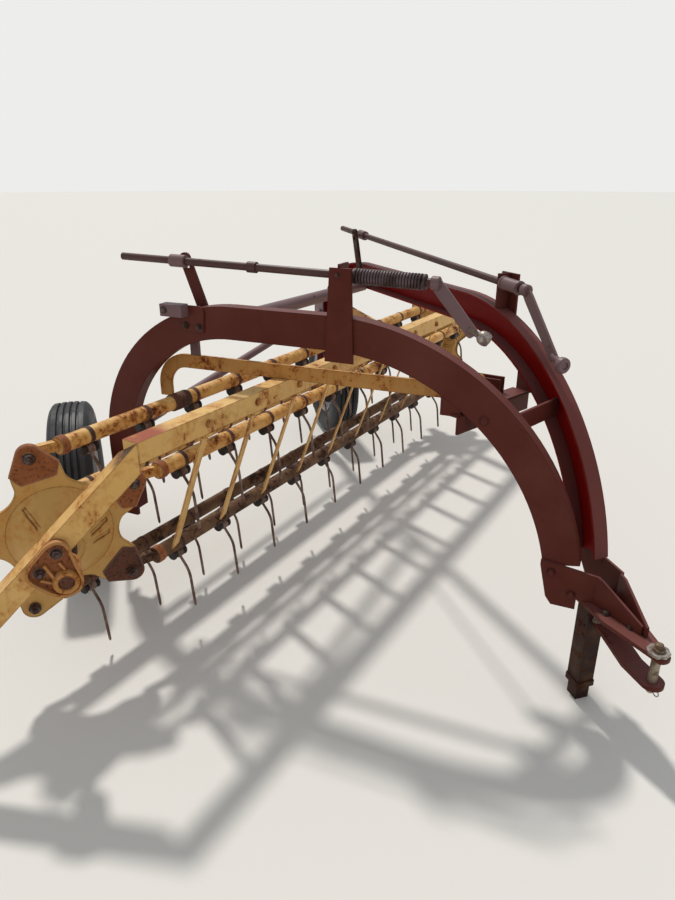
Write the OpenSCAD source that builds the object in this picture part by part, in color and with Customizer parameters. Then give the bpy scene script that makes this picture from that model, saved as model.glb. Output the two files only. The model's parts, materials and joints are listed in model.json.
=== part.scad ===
// Parallel-bar side-delivery hay rake, parked on its front stand.
// +X points forward (to the hitch), +Y to the left, +Z up, millimetres.
// The origin is on the ground under the foot of the parking stand.

/* [Arches] */
// heading of the right arch, from the hitch back over the basket, degrees from +X
arch_right_heading = 230; // [220:1:240]
// heading of the left arch
arch_left_heading = 187; // [180:1:195]
// sideways offset of the left arch at the hitch
arch_left_offset = 30; // [20:1:60]
// depth of the channel section
channel_depth = 105; // [90:1:120]
// width of the channel's flanges
channel_width = 50; // [40:1:60]
// thickness of the channel's web
web_t = 6; // [5:0.5:8]
// thickness of the channel's flanges
flange_t = 7.5; // [6:0.5:9]
// height of the arch's top edge
arch_top = 1105; // [1080:5:1130]
// outer radius of the front bend
front_bend_r = 810; // [780:5:840]
// distance of the front bend's centre from the stand
front_bend_s = 845; // [820:5:870]
// outer radius of the rear bend
rear_bend_r = 565; // [540:5:590]
// straight top of the right arch
right_top_len = 345; // [300:5:380]
// straight top of the left arch
left_top_len = 865; // [800:5:900]
// angle above level at which the front bend ends at the hitch
front_bend_end = 10.7; // [8:0.1:14]
// height at which the rear legs end
leg_bottom = 300; // [280:5:340]

/* [Wheels] */
// outer diameter of the tyres
tyre_d = 660; // [640:5:680]
// width of the tyres
tyre_w = 160; // [150:1:170]
// diameter of the rim at the bead
rim_d = 390; // [381:1:400]
// distance back of the right wheel's centre
wheel_right_x = -1300; // [-1330:5:-1270]
// distance right of the right wheel's centre
wheel_right_y = -1490; // [-1520:5:-1460]
// distance back of the left wheel's centre
wheel_left_x = -2480; // [-2520:5:-2470]
// sideways place of the left wheel's centre
wheel_left_y = -96; // [-104:1:-90]

/* [Basket] */
// centre of the right reel head, X
reel_x = -527; // [-532:1:-520]
// centre of the right reel head, Y
reel_y = -1474; // [-1480:1:-1466]
// height of the reel's axis
reel_z = 513; // [508:1:516]
// heading of the basket, degrees from +X
basket_heading = 132.5; // [131:0.5:134]
// heading of the planes in which the reel heads turn
head_heading = 97.3; // [95:0.1:100]
// distance between the two reel heads, along the basket
reel_len = 2690; // [2600:10:2900]
// radius from the reel's axis to the tine bars
lobe_r = 254; // [250:1:258]
// turn of the reel at rest
reel_phase = 101; // [90:1:110]
// diameter of the tine bar tubes
tine_bar_d = 50; // [45:1:55]
// height of the top beam's upper face
beam_top = 861; // [855:1:866]
// height of the top beam's section
beam_h = 60; // [50:1:70]
// thickness of the top beam's section
beam_w = 55; // [50:1:65]
// distance of the top beam's front face ahead of the reel's axis
beam_front = 347; // [340:1:355]
// place of the top beam's right end along the basket
beam_first = 24; // [10:1:30]
// height of the basket arms' flat bar
arm_h = 48; // [42:1:52]
// thickness of the basket arms' flat bar
arm_t = 12; // [10:1:16]
// distance of the pivots ahead of the reel's axis
pivot_front = 916; // [908:1:924]
// height of the pivots
pivot_z = 885; // [870:5:900]

/* [Teeth and strippers] */
// distance between the teeth
tooth_pitch = 232; // [225:1:250]
// distance of the first tooth from the right head
tooth_first = 204; // [180:2:230]
// height of a tooth from its tip to the bar's axis
tooth_drop = 240; // [225:1:247]
// diameter of the tooth wire
tooth_d = 10; // [8:0.5:11]
// slope of the tooth wire below its mount, degrees from upright
tooth_slant = 38; // [25:1:42]
// slope of the tooth wire at its tip
tooth_tip_slant = 6; // [3:1:12]
// place of the first strap's lower end along the basket
strap_first = 250; // [230:1:270]
// distance between the straps
strap_pitch = 229; // [222:1:240]

/* [Lift] */
// distance of the right lever's pivot along the right arch
lever_right_s = 1328; // [1310:1:1350]
// distance of the left lever's pivot along the left arch
lever_left_s = 1670; // [1640:1:1700]
// height of the levers' pivots
lever_z = 1066; // [1062:1:1070]
// length of the lever's arm to the lift link
lever_arm = 68.6; // [60:0.1:80]
// slope of that arm below level, degrees
lever_slope = 18.7; // [10:0.1:25]

/* [Stand and hitch] */
// outside width of the stand's sleeve
sleeve_w = 54; // [52:1:80]
// side of the stand's leg
leg_w = 44; // [36:1:50]
// distance of the hitch pin ahead of the stand
hitch_x = 243; // [230:1:260]
// sideways place of the hitch pin
hitch_y = 26; // [10:1:40]
// diameter of the hitch pin
pin_d = 25; // [20:1:30]

/* [Hidden] */
front_bend_z = arch_top - front_bend_r;
rear_bend_z = arch_top - rear_bend_r;
wheel_z = tyre_d / 2;
// inner faces of the rear legs, along each arch
rear_leg_right = front_bend_s + right_top_len + rear_bend_r - channel_depth;
rear_leg_left = front_bend_s + left_top_len + rear_bend_r - channel_depth;
head_local = head_heading - basket_heading;      // head plane in the basket's own frame
axis_local = head_local - 90;                    // reel axis, forward, in the basket's own frame
lobe_angles = [for (k = [0:4]) reel_phase - 72 * k];
// points of the arches' own frames seen from above
function right_pt(along, y) = [along * cos(arch_right_heading) - y * sin(arch_right_heading),
                               along * sin(arch_right_heading) + y * cos(arch_right_heading)];
function left_pt(along, y) = [along * cos(arch_left_heading) - y * sin(arch_left_heading),
                              arch_left_offset + along * sin(arch_left_heading) + y * cos(arch_left_heading)];
function above(p, z) = [p[0], p[1], z];
function to_basket(p) = [(p[0] - reel_x) * cos(basket_heading) + (p[1] - reel_y) * sin(basket_heading),
                         (p[1] - reel_y) * cos(basket_heading) - (p[0] - reel_x) * sin(basket_heading)];
lever_right_y = -68;
lever_left_y = 18;
link_right_y = lever_right_y - 19;
link_left_y = lever_left_y + 27;
link_right_s = lever_right_s + lever_arm * cos(lever_slope);
link_left_s = lever_left_s + lever_arm * cos(lever_slope);
arm_bottom = beam_top + 0.3;
arm_top = arm_bottom + arm_h;
// lift eyes and pivots in the basket's own frame: place along the basket, distance behind the reel's axis
H1 = to_basket(right_pt(link_right_s, link_right_y));
H2 = to_basket(left_pt(link_left_s, link_left_y));
P1 = [781, -pivot_front];
P2 = [923, -pivot_front];
// the arms bend down behind the lift eyes and end above the turning bars
arm_tail = 40;
hook_drop = 42;
bend_in = 70;
// the top beam ends before the left head; teeth and straps fill the length they have
beam_end = reel_len - 110;
tooth_count = floor((reel_len - 165 - tooth_first) / tooth_pitch) + 1;
strap_count = floor((beam_end - 60 - strap_first) / strap_pitch) + 1;
strap_t = 5;
strap_w = 46;
strap_low_y = -203;
strap_low_z = 405;
// cross members
pivot_s = 460;
cross_pipe_d = 48;
brace_d = 34;
brace_collar_d = 46;
end_run_h = 50;
$fn = 48;

// ---- placing -------------------------------------------------------------
module on_right_arch() rotate([0, 0, arch_right_heading]) children();
module on_left_arch() translate([0, arch_left_offset, 0]) rotate([0, 0, arch_left_heading]) children();
module on_basket() translate([reel_x, reel_y, 0]) rotate([0, 0, basket_heading]) children();
// a head plane in the basket's frame: x across the plane (to the left), y along the reel's axis (back), z up
module on_head(along) translate([along, 0, reel_z]) rotate([0, 0, head_local]) children();

function lobe_place(k, along) = [along + lobe_r * cos(lobe_angles[k]) * cos(head_local),
                                 lobe_r * cos(lobe_angles[k]) * sin(head_local),
                                 reel_z + lobe_r * sin(lobe_angles[k])];

module rod_between(p, q, d) {
    v = q - p;
    translate(p) rotate([0, acos(v[2] / norm(v)), atan2(v[1], v[0])]) cylinder(h = norm(v), d = d);
}
module tube_between(p, q, d, bore) {
    v = q - p;
    translate(p) rotate([0, acos(v[2] / norm(v)), atan2(v[1], v[0])])
        difference() { cylinder(h = norm(v), d = d); translate([0, 0, -1]) cylinder(h = norm(v) + 2, d = bore); }
}
module bar_between(p, q, across, deep) {
    v = q - p;
    translate(p) rotate([0, -asin(v[2] / norm(v)), atan2(v[1], v[0])])
        translate([0, -across / 2, -deep / 2]) cube([norm(v), across, deep]);
}
// extrudes a profile drawn in (x, z) over y from y0 to y1
module sheet_xz(y0, y1) translate([0, y1, 0]) rotate([90, 0, 0]) linear_extrude(y1 - y0) children();

// ---- arches --------------------------------------------------------------
// one channel arch in its own plane: x along, z up, y from -channel_width to 0;
// web_side 0 puts the web at y = 0, web_side 1 at y = -channel_width
module channel_profile(inner, outer, web_side) {
    w0 = web_side == 0 ? 0 : channel_width - web_t;
    translate([inner, w0]) square([outer - inner, web_t]);
    translate([inner, 0]) square([flange_t, channel_width]);
    translate([outer - flange_t, 0]) square([flange_t, channel_width]);
}
module channel_arch(top_len, web_side) {
    rear_s = front_bend_s + top_len;
    translate([front_bend_s, 0, front_bend_z]) rotate([90, 0, 0]) rotate([0, 0, 90])
        rotate_extrude(angle = 90 - front_bend_end, $fn = 96)
            channel_profile(front_bend_r - channel_depth, front_bend_r, web_side);
    translate([rear_s, 0, rear_bend_z]) rotate([90, 0, 0])
        rotate_extrude(angle = 90, $fn = 96)
            channel_profile(rear_bend_r - channel_depth, rear_bend_r, web_side);
    translate([front_bend_s, 0, arch_top - channel_depth]) rotate([90, 0, 90])
        linear_extrude(top_len) rotate([0, 0, 90]) channel_profile(0, channel_depth, web_side);
    translate([rear_s + rear_bend_r - channel_depth, 0, leg_bottom])
        linear_extrude(rear_bend_z - leg_bottom) mirror([0, 1]) channel_profile(0, channel_depth, web_side);
}
module arch_right() color([0.36, 0.15, 0.13]) on_right_arch() channel_arch(right_top_len, 0);
module arch_left() color([0.46, 0.13, 0.12]) on_left_arch() channel_arch(left_top_len, 1);

// ---- hitch ---------------------------------------------------------------
module gussets() color([0.36, 0.15, 0.13]) {
    // right: a plate on the arch's web, bent in to the pin
    on_right_arch() sheet_xz(0.0, 8)
        polygon([[158, 446], [-12, 425], [-12, 337], [46, 337], [46, 303], [115, 303], [133, 327], [158, 430]]);
    rotate([0, 0, 12]) translate([-6, -6, 0]) sheet_xz(0, 8)
        polygon([[0, 425], [30, 425], [178, 365], [178, 337], [0, 337]]);
    // left: the same on the left arch's web
    on_left_arch() sheet_xz(-channel_width - 8, -channel_width)
        polygon([[160, 450], [-12, 425], [-12, 337], [70, 337], [125, 340], [165, 400]]);
    translate([8, arch_left_offset + channel_width, 0]) rotate([0, 0, -12]) sheet_xz(-8, 0)
        polygon([[0, 425], [30, 425], [178, 368], [178, 337], [0, 337]]);
}
module hitch_straps() color([0.36, 0.15, 0.13]) difference() {
    union() {
        translate([-40, -28, 325]) cube([hitch_x + 40, 112, 12]);
        translate([hitch_x, hitch_y, 325]) cylinder(h = 12, r = 32);
        translate([hitch_x, hitch_y, 235]) cylinder(h = 12, r = 32);
        translate([165, hitch_y - 32, 235]) cube([hitch_x - 165, 64, 12]);
        sheet_xz(hitch_y - 32, hitch_y + 32)
            polygon([[sleeve_w / 2, 288], [sleeve_w / 2, 276], [160, 235], [175, 235], [175, 247], [163, 247]]);
    }
    translate([hitch_x, hitch_y, 200]) cylinder(h = 200, d = pin_d + 0.6);
    // the drawbar plate narrows to the pin
    translate([90, -28.1, 324]) rotate([0, 0, 12]) translate([0, -80, 0]) cube([300, 80, 14]);
    translate([90, 84.1, 324]) rotate([0, 0, -12]) cube([300, 80, 14]);
}
module hitch_pin() color([0.55, 0.48, 0.38]) translate([hitch_x, hitch_y, 0]) {
    translate([0, 0, 212]) cylinder(h = 150, d = pin_d);
    translate([0, 0, 337]) cylinder(h = 22, r = 21);
}
module stand_sleeve() color([0.22, 0.16, 0.14]) translate([0, 0, 48]) difference() {
    translate([-sleeve_w / 2, -sleeve_w / 2, 0]) cube([sleeve_w, sleeve_w, 325 - 48]);
    translate([-leg_w / 2 - 0.4, -leg_w / 2 - 0.4, -1]) cube([leg_w + 0.8, leg_w + 0.8, 272]);
}
module stand_leg() color([0.2, 0.15, 0.13]) {
    translate([-leg_w / 2, -leg_w / 2, 0]) cube([leg_w, leg_w, 160]);
}
module front_tie() color([0.42, 0.16, 0.14])
    difference() {
        bar_between([-198, -225.4, 830], [-338.1, 34.9, 830], 10, 56);
        arch_right();
        arch_left();
    }

// ---- pivots of the basket --------------------------------------------------
module pivot_angle() color([0.46, 0.14, 0.12]) {
    difference() {
        union() {
            bar_between(above(right_pt(pivot_s, 0), 850), above(left_pt(pivot_s - 4, 8), 850), 60, 8);
            bar_between(above(right_pt(pivot_s, 0) + [25, 12], 823), above(left_pt(pivot_s - 4, 8) + [25, 12], 823), 8, 54);
        }
        on_right_arch() front_bend_space();
        on_left_arch() front_bend_space();
    }
    // end pads up to the arches' lower flanges
    on_right_arch() pivot_pad();
    on_left_arch() pivot_pad();
    on_basket() for (p = [P1, P2]) for (side = [-1, 1])
        translate([p[0] + side * 19 - 4, p[1] - 78, 846]) cube([8, 100, 60]);
    on_basket() for (p = [P1, P2])
        translate([p[0] - 24, p[1], pivot_z]) rotate([0, 90, 0]) cylinder(h = 48, d = 20);
}
module front_bend_space() translate([front_bend_s, 0, front_bend_z]) rotate([90, 0, 0]) difference() {
    cylinder(h = channel_width, r = front_bend_r + 20, $fn = 96);
    translate([0, 0, -1]) cylinder(h = channel_width + 2, r = front_bend_r - channel_depth, $fn = 96);
}
module pivot_pad() intersection() {
    translate([pivot_s - 30, -channel_width, 846]) cube([60, channel_width, 80]);
    translate([front_bend_s, 1, front_bend_z]) rotate([90, 0, 0])
        cylinder(h = channel_width + 2, r = front_bend_r - channel_depth, $fn = 96);
}
module basket_arms() color([0.78, 0.63, 0.36]) on_basket() {
    basket_arm(H1, P1);
    basket_arm(H2, P2);
}
module basket_arm(h, p) {
    q = p + [0, 45];
    run = norm(h - q);
    turn = atan2(h[1] - q[1], h[0] - q[0]);
    difference() {
        union() {
            // eye at the pivot and its straight neck
            translate([p[0] - 13, p[1], pivot_z]) rotate([0, 90, 0]) cylinder(h = 26, d = 44);
            translate([p[0] - 13, p[1] + 10, arm_bottom]) cube([26, 50, arm_h]);
            translate([q[0], q[1], 0]) rotate([0, 0, turn]) {
                translate([0, -arm_t / 2, arm_bottom]) cube([run + arm_tail, arm_t, arm_h]);
                translate([run + arm_tail, arm_t / 2, arm_top - bend_in - arm_h]) rotate([90, 0, 0])
                    rotate_extrude(angle = 90, $fn = 72) translate([bend_in, 0]) square([arm_h, arm_t]);
                translate([run + arm_tail + bend_in, -arm_t / 2, arm_top - bend_in - arm_h - hook_drop]) cube([arm_h, arm_t, hook_drop + 0.1]);
            }
        }
        translate([p[0] - 14, p[1], pivot_z]) rotate([0, 90, 0]) cylinder(h = 28, d = 20.2);
    }
}

// ---- cross members -----------------------------------------------------------
module cross_pipe() color([0.45, 0.35, 0.36]) difference() {
    rod_between(above(right_pt(1224, -17), arch_top - 55), above(left_pt(1697.5, -42), arch_top - 94), cross_pipe_d);
    on_right_arch() translate([900, -web_t, 900]) cube([500, 100, 200]);
    on_left_arch() translate([1500, -300, 900]) cube([300, 300, 200]);
}
module brace_tube() color([0.43, 0.34, 0.35]) difference() {
    a = above(right_pt(rear_leg_right + 37.6, 6.4), 598);
    b = above(left_pt(rear_leg_left + 101, -63), 803);
    union() {
        rod_between(a, b, brace_d);
        rod_between(a + 0.04 * (b - a), a + 0.142 * (b - a), brace_collar_d);
        // plate on the edges of the left arch's leg
        on_left_arch() translate([rear_leg_left - 8, 0, 750]) cube([channel_depth + 16, 8, 110]);
    }
    on_right_arch() translate([rear_leg_right - 50, -web_t, 500]) cube([200, 100, 200]);
    on_left_arch() translate([rear_leg_left - 100, -300, 600]) cube([300, 300, 400]);
}

// ---- axles and wheels ----------------------------------------------------------
// trailing plates, drawn from above: flat on the leg, then straight back to the spindle
axle_plate_t = 14;
axle_plate_h = 110;
spindle_d = 34.9;
spindle_end = 60;
module axle_plates() color([0.34, 0.15, 0.13]) {
    a = right_pt(rear_leg_right, 0);
    b = right_pt(rear_leg_right + channel_depth, 0);
    a2 = right_pt(rear_leg_right, axle_plate_t);
    b2 = right_pt(rear_leg_right + channel_depth, axle_plate_t);
    translate([0, 0, wheel_z - axle_plate_h / 2]) linear_extrude(axle_plate_h)
        polygon([a, a2, b2, [wheel_right_x - 70, b2[1]], [wheel_right_x - 70, b2[1] + axle_plate_t], b]);
    translate([wheel_right_x, b2[1] + 2, wheel_z]) rotate([90, 0, 0])
        cylinder(h = b2[1] + 2 - wheel_right_y + spindle_end, d = spindle_d);
    c = left_pt(rear_leg_left, 0);
    d = left_pt(rear_leg_left + channel_depth, 0);
    c2 = left_pt(rear_leg_left, axle_plate_t);
    d2 = left_pt(rear_leg_left + channel_depth, axle_plate_t);
    translate([0, 0, wheel_z - axle_plate_h / 2]) linear_extrude(axle_plate_h)
        polygon([c, c2, d2, [wheel_left_x - 70, d2[1]], [wheel_left_x - 70, d2[1] + axle_plate_t], d]);
    translate([wheel_left_x, d2[1] + axle_plate_t - 2, wheel_z]) rotate([-90, 0, 0])
        cylinder(h = wheel_left_y - d2[1] - axle_plate_t + 2 + spindle_end, d = spindle_d);
}
// side is 1 with the spindle coming in from +Y, -1 from -Y
module tyre_at(x, y) translate([x, y, wheel_z]) rotate([90, 0, 0])
    rotate_extrude($fn = 96) {
        polygon([[rim_d / 2, -tyre_w * 0.36], [rim_d / 2 + 40, -tyre_w / 2], [rim_d / 2 + 95, -tyre_w / 2 + 4],
                 [tyre_d / 2 - 8, -tyre_w * 0.36], [tyre_d / 2, -tyre_w * 0.22], [tyre_d / 2, tyre_w * 0.22],
                 [tyre_d / 2 - 8, tyre_w * 0.36], [rim_d / 2 + 95, tyre_w / 2 - 4], [rim_d / 2 + 40, tyre_w / 2],
                 [rim_d / 2, tyre_w * 0.36]]);
    }
module rim_at(x, y, side) translate([x, y, wheel_z]) rotate([90, 0, 0]) {
    rotate_extrude($fn = 72) {
        translate([rim_d / 2 - 8, -56]) square([8, 112]);
        translate([rim_d / 2 - 16, -58]) square([16, 8]);
        translate([rim_d / 2 - 16, 50]) square([16, 8]);
        translate([17.5, -5]) square([rim_d / 2 - 18, 10]);
    }
    difference() {
        translate([0, 0, -55]) cylinder(h = 110, d = 90);
        translate([0, 0, -56]) cylinder(h = 112, d = 35);
    }
}
module tyre_right() color([0.16, 0.17, 0.18]) tyre_at(wheel_right_x, wheel_right_y);
module rim_right() color([0.6, 0.6, 0.6]) rim_at(wheel_right_x, wheel_right_y, 1);
module tyre_left() color([0.16, 0.17, 0.18]) tyre_at(wheel_left_x, wheel_left_y);
module rim_left() color([0.6, 0.6, 0.6]) rim_at(wheel_left_x, wheel_left_y, -1);

// ---- lift ------------------------------------------------------------------
rod_right_y = -30;
rod_left_y = -20;
// crank rods: [s at the rear, z at the rear, s at the front, z at the front]
rod_right = [1614, 1238, 540, 1215];
rod_left = [1960, 1242, 525, 1156];
function rod_z(r, s) = r[3] + (r[1] - r[3]) * (s - r[2]) / (r[0] - r[2]);
nut_right_s = lever_right_s + 60.9;
nut_left_s = lever_left_s + 59;

module crank_posts() color([0.36, 0.15, 0.13]) {
    on_right_arch() {
        sheet_xz(0, 8) polygon([[770, 1245], [838, 1245], [855, 968], [762, 968]]);
        difference() {
            translate([806, -60, arch_top]) cube([8, 62, 150]);
            translate([780, rod_right_y, rod_z(rod_right, 810)]) rotate([0, 90, 0]) cylinder(h = 60, d = 24.8);
        }
    }
    on_left_arch() difference() {
        union() {
            translate([640, -channel_width, 1076]) cube([8, channel_width - 4, 116]);
            translate([600, -channel_width - 8, 1000]) cube([88, 8, 192]);
        }
        translate([600, rod_left_y, rod_z(rod_left, 644)]) rotate([0, 90, 0]) cylinder(h = 90, d = 25.6);
        translate([front_bend_s, 10, front_bend_z]) rotate([90, 0, 0]) cylinder(h = channel_width + 10, r = front_bend_r, $fn = 96);
    }
}
module lever_pivots() color([0.3, 0.14, 0.12]) {
    on_right_arch() translate([lever_right_s, -web_t, lever_z]) rotate([90, 0, 0]) cylinder(h = 78, d = 19.9);
    on_left_arch() translate([lever_left_s, -channel_width + web_t, lever_z]) rotate([-90, 0, 0]) cylinder(h = 78, d = 19.9);
}
// lever in the arch's plane: pivot at 0, link pin to the rear and below, slotted upper end; thickness 12
module lever_shape(pin_len) {
    difference() {
        union() {
            sheet_xz(-6, 6) difference() {
                union() {
                    circle(r = 26);
                    rotate([0, 0, -lever_slope]) translate([0, -14]) square([lever_arm, 28]);
                    rotate([0, 0, -lever_slope]) translate([lever_arm, 0]) circle(r = 16);
                    rotate([0, 0, 70]) translate([0, -19]) square([182, 38]);
                    rotate([0, 0, 70]) translate([182, 0]) circle(r = 19);
                }
                circle(r = 10);
                rotate([0, 0, 70]) translate([150, -8.3]) square([36, 16.6]);
            }
        }
    }
}
module lever_right() color([0.34, 0.15, 0.13]) on_right_arch() translate([lever_right_s, lever_right_y, lever_z]) {
    lever_shape(30);
    rotate([0, lever_slope, 0]) translate([lever_arm, 0, 0]) rotate([90, 0, 0]) cylinder(h = 28, d = 12);
}
module lever_left() color([0.34, 0.15, 0.13]) on_left_arch() translate([lever_left_s, lever_left_y, lever_z]) {
    lever_shape(30);
    rotate([0, lever_slope, 0]) translate([lever_arm, 0, 0]) rotate([-90, 0, 0]) cylinder(h = 36, d = 12);
}
module crank_rods() color([0.38, 0.3, 0.3]) {
    on_right_arch() {
        rod_between([rod_right[0], rod_right_y, rod_right[1]], [rod_right[2], rod_right_y, rod_right[3]], 24);
        rod_between([1130, rod_right_y, rod_z(rod_right, 1130)], [1100, rod_right_y, rod_z(rod_right, 1100)], 34);
    }
    on_left_arch()
        rod_between([rod_left[0], rod_left_y, rod_left[1]], [rod_left[2], rod_left_y, rod_left[3]], 24);
}
module nut_at(r, s, y, pin) {
    z = rod_z(r, s);
    slope = atan((r[1] - r[3]) / (r[0] - r[2]));
    translate([s, y, z]) rotate([0, -slope, 0]) {
        rotate([0, 90, 0]) difference() {
            translate([0, 0, -28]) cylinder(h = 56, d = 40);
            translate([0, 0, -29]) cylinder(h = 58, d = 24.6);
        }
    }
    translate([s, y, z]) difference() {
        rotate([pin > 0 ? -90 : 90, 0, 0]) cylinder(h = abs(pin), d = 13);
        rotate([0, 90 - slope, 0]) translate([0, 0, -29]) cylinder(h = 58, d = 24.6);
    }
}
module nut_right() color([0.4, 0.3, 0.28]) on_right_arch() nut_at(rod_right, nut_right_s, rod_right_y, -50);
module nut_left() color([0.4, 0.3, 0.28]) on_left_arch() nut_at(rod_left, nut_left_s, rod_left_y, 50);
module crank_springs() color([0.33, 0.27, 0.27]) {
    on_right_arch() tube_between([776, rod_right_y, rod_z(rod_right, 776)], [560, rod_right_y, rod_z(rod_right, 560)], 46, 24.6);
    on_left_arch() tube_between([636, rod_left_y, rod_z(rod_left, 636)], [545, rod_left_y, rod_z(rod_left, 545)], 46, 24.6);
}
module crank_handle(r, y, run, fall, knob_d) {
    s = r[2];
    z = r[3];
    rod_between([s, y, z], [s - 30, y, z - 30 * (r[1] - r[3]) / (r[0] - r[2])], 44);
    bar_between([s - 8, y, z], [s - run, y, z - fall], 36, 9);
    rod_between([s - run + 10, y, z - fall + 10], [s - run - 32, y, z - fall - 11], 20);
    rod_between([s - run - 32, y, z - fall - 11], [s - run - 54, y, z - fall - 22], knob_d);
}
module crank_handles() color([0.45, 0.4, 0.4]) {
    on_right_arch() crank_handle(rod_right, rod_right_y, 118, 128, 42);
    on_left_arch() crank_handle(rod_left, rod_left_y, 170, 176, 50);
}
// slotted upper end: the lever's pin moves back in it as the basket rises
module link_at(s, y) {
    zp = lever_z - lever_arm * sin(lever_slope);
    difference() {
        union() {
            translate([s - 17, y - 6, arm_top]) cube([34, 12, zp - arm_top]);
            translate([s + 4, y + 6, zp]) rotate([90, 0, 0]) cylinder(h = 12, r = 23);
        }
        translate([s - 1, y - 7, zp - 7.3]) cube([11, 14, 14.6]);
        for (e = [-1, 10]) translate([s + e, y + 7, zp]) rotate([90, 0, 0]) cylinder(h = 14, r = 7.3);
    }
}
module lift_links() color([0.4, 0.3, 0.3]) {
    on_right_arch() link_at(link_right_s, link_right_y);
    on_left_arch() link_at(link_left_s, link_left_y);
}

// ---- basket frame -------------------------------------------------------------
module top_beam() color([0.8, 0.66, 0.4]) on_basket()
    translate([beam_first, -beam_front, beam_top - beam_h]) cube([beam_end - beam_first, beam_w, beam_h]);
end_run = 715;
end_slope = 43;
end_w = 60;
module end_beams() color([0.82, 0.68, 0.42]) on_basket() {
    // right: down and out in a plane parallel to the reel head
    difference() {
        right_end_beam();
        translate([beam_first, -beam_front - 100, beam_top - 200]) cube([300, 300, 300]);
    }
    // left: back over the reel head, then down behind it
    difference() {
        union() {
            bar_between([beam_end, -beam_front + 20, beam_top - end_run_h / 2], [reel_len + 130, 182, beam_top - end_run_h / 2], end_w, end_run_h);
            on_head(reel_len) translate([-end_w / 2, 175, -60]) cube([end_w, end_w, beam_top - reel_z + 60]);
        }
        translate([0, -beam_front - 10, beam_top - beam_h - 10]) cube([beam_end, beam_w + 20, beam_h + 20]);
    }
}
module right_end_beam() translate([beam_first, -beam_front, beam_top]) rotate([0, 0, head_local + 180]) rotate([0, end_slope, 0])
    translate([-60, -end_w, -62]) cube([end_run + 60, end_w, 62]);
module bearing_brackets() color([0.6, 0.36, 0.2]) on_basket() {
    on_head(0) difference() {
        union() {
            translate([0, -292, 0]) rotate([-90, 0, 0]) cylinder(h = 96, d = 84);
            sheet_xz(-284, -269.8) polygon([[-36, -34], [20, -42], [42, -10], [44, 40], [12, 128], [-24, 122], [-92, 58], [-70, 22]]);
        }
        translate([0, -300, 0]) rotate([-90, 0, 0]) cylinder(h = 120, d = 40.1);
        rotate([0, 0, -head_local]) translate([0, 0, -reel_z]) right_end_beam();
    }
    on_head(reel_len) difference() {
        translate([0, 115, 0]) rotate([-90, 0, 0]) cylinder(h = 60, d = 84);
        translate([0, 100, 0]) rotate([-90, 0, 0]) cylinder(h = 120, d = 40.1);
    }
}
module strippers() color([0.78, 0.62, 0.34]) on_basket() for (i = [0:strap_count - 1]) {
    x = strap_first + i * strap_pitch;
    bar_between([x, strap_low_y, strap_low_z], [x + 40, -beam_front + 18, beam_top - beam_h - 10], strap_w, strap_t);
    translate([x + 25, -beam_front + 1, beam_top - beam_h - 12]) cube([30, 30, 11.7]);
}

// ---- reel -----------------------------------------------------------------------
// star plate with five lobes, its dish and its hub; side is -1 with the shaft to the front, 1 to the back
module head_shape(side) {
    difference() {
        union() {
            sheet_xz(-3, 3) difference() {
                union() {
                    // the web between the lobes is hollowed by arcs of 80
                    difference() {
                        circle(r = 200);
                        for (a = lobe_angles) rotate([0, 0, a + 36]) translate([245, 0]) circle(r = 80);
                    }
                    for (a = lobe_angles) rotate([0, 0, a]) {
                        translate([0, -70]) square([lobe_r - 40, 140]);
                        polygon([[lobe_r - 41, -70], [lobe_r + 8, -33], [lobe_r + 8, 33], [lobe_r - 41, 70]]);
                        translate([lobe_r, 0]) circle(r = 34);
                    }
                }
                circle(r = 152);
            }
            rotate([side > 0 ? -90 : 90, 0, 0]) rotate_extrude($fn = 72)
                polygon([[157, -3], [157, 3], [68, 104], [15, 106], [15, 98], [64, 98], [149, -3]]);
            rotate([side > 0 ? -90 : 90, 0, 0]) translate([0, 0, 60]) cylinder(h = 45, d = 76);
            rotate([side > 0 ? -90 : 90, 0, 0]) translate([0, 0, 60]) cylinder(h = side > 0 ? 110 : 228, d = 40);
        }
        for (a = lobe_angles)
            translate([lobe_r * cos(a), 20, lobe_r * sin(a)]) rotate([90, 0, 0]) cylinder(h = 40, d = side > 0 ? 22 : 20.1);
    }
}
module head_right() color([0.8, 0.66, 0.42]) on_basket() on_head(0) head_shape(-1);
module head_left() color([0.8, 0.66, 0.42]) on_basket() on_head(reel_len) head_shape(1);

// one tine bar: a tube along the basket with a pin through each head's lobe
module tine_bar(k) color([0.8, 0.6, 0.36]) on_basket() {
    a = lobe_place(k, 0);
    c = lobe_place(k, reel_len);
    e = 95;
    translate([a[0] + e, a[1], a[2]]) rotate([0, 90, 0]) cylinder(h = reel_len - 2 * e, d = tine_bar_d);
    for (p = [[a, 1], [c, -1]]) {
        translate(p[0]) rotate([0, 0, head_local]) {
            translate([0, -p[1] * 12, 0]) rotate([p[1] > 0 ? -90 : 90, 0, 0]) cylinder(h = 62, d = 20);
            translate([0, -p[1] * 14, 0]) rotate([p[1] > 0 ? -90 : 90, 0, 0]) cylinder(h = 8, d = 34);
        }
        bar_between(p[0] + [0, 0, 0] + p[1] * [38 * sin(-head_local), 38 * cos(head_local), 0] , p[0] + p[1] * [130, 0, 0], 24, 30);
    }
}
module bar_1() tine_bar(0);
module bar_2() tine_bar(1);
module bar_3() tine_bar(2);
module bar_4() tine_bar(3);
module bar_5() tine_bar(4);

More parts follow.
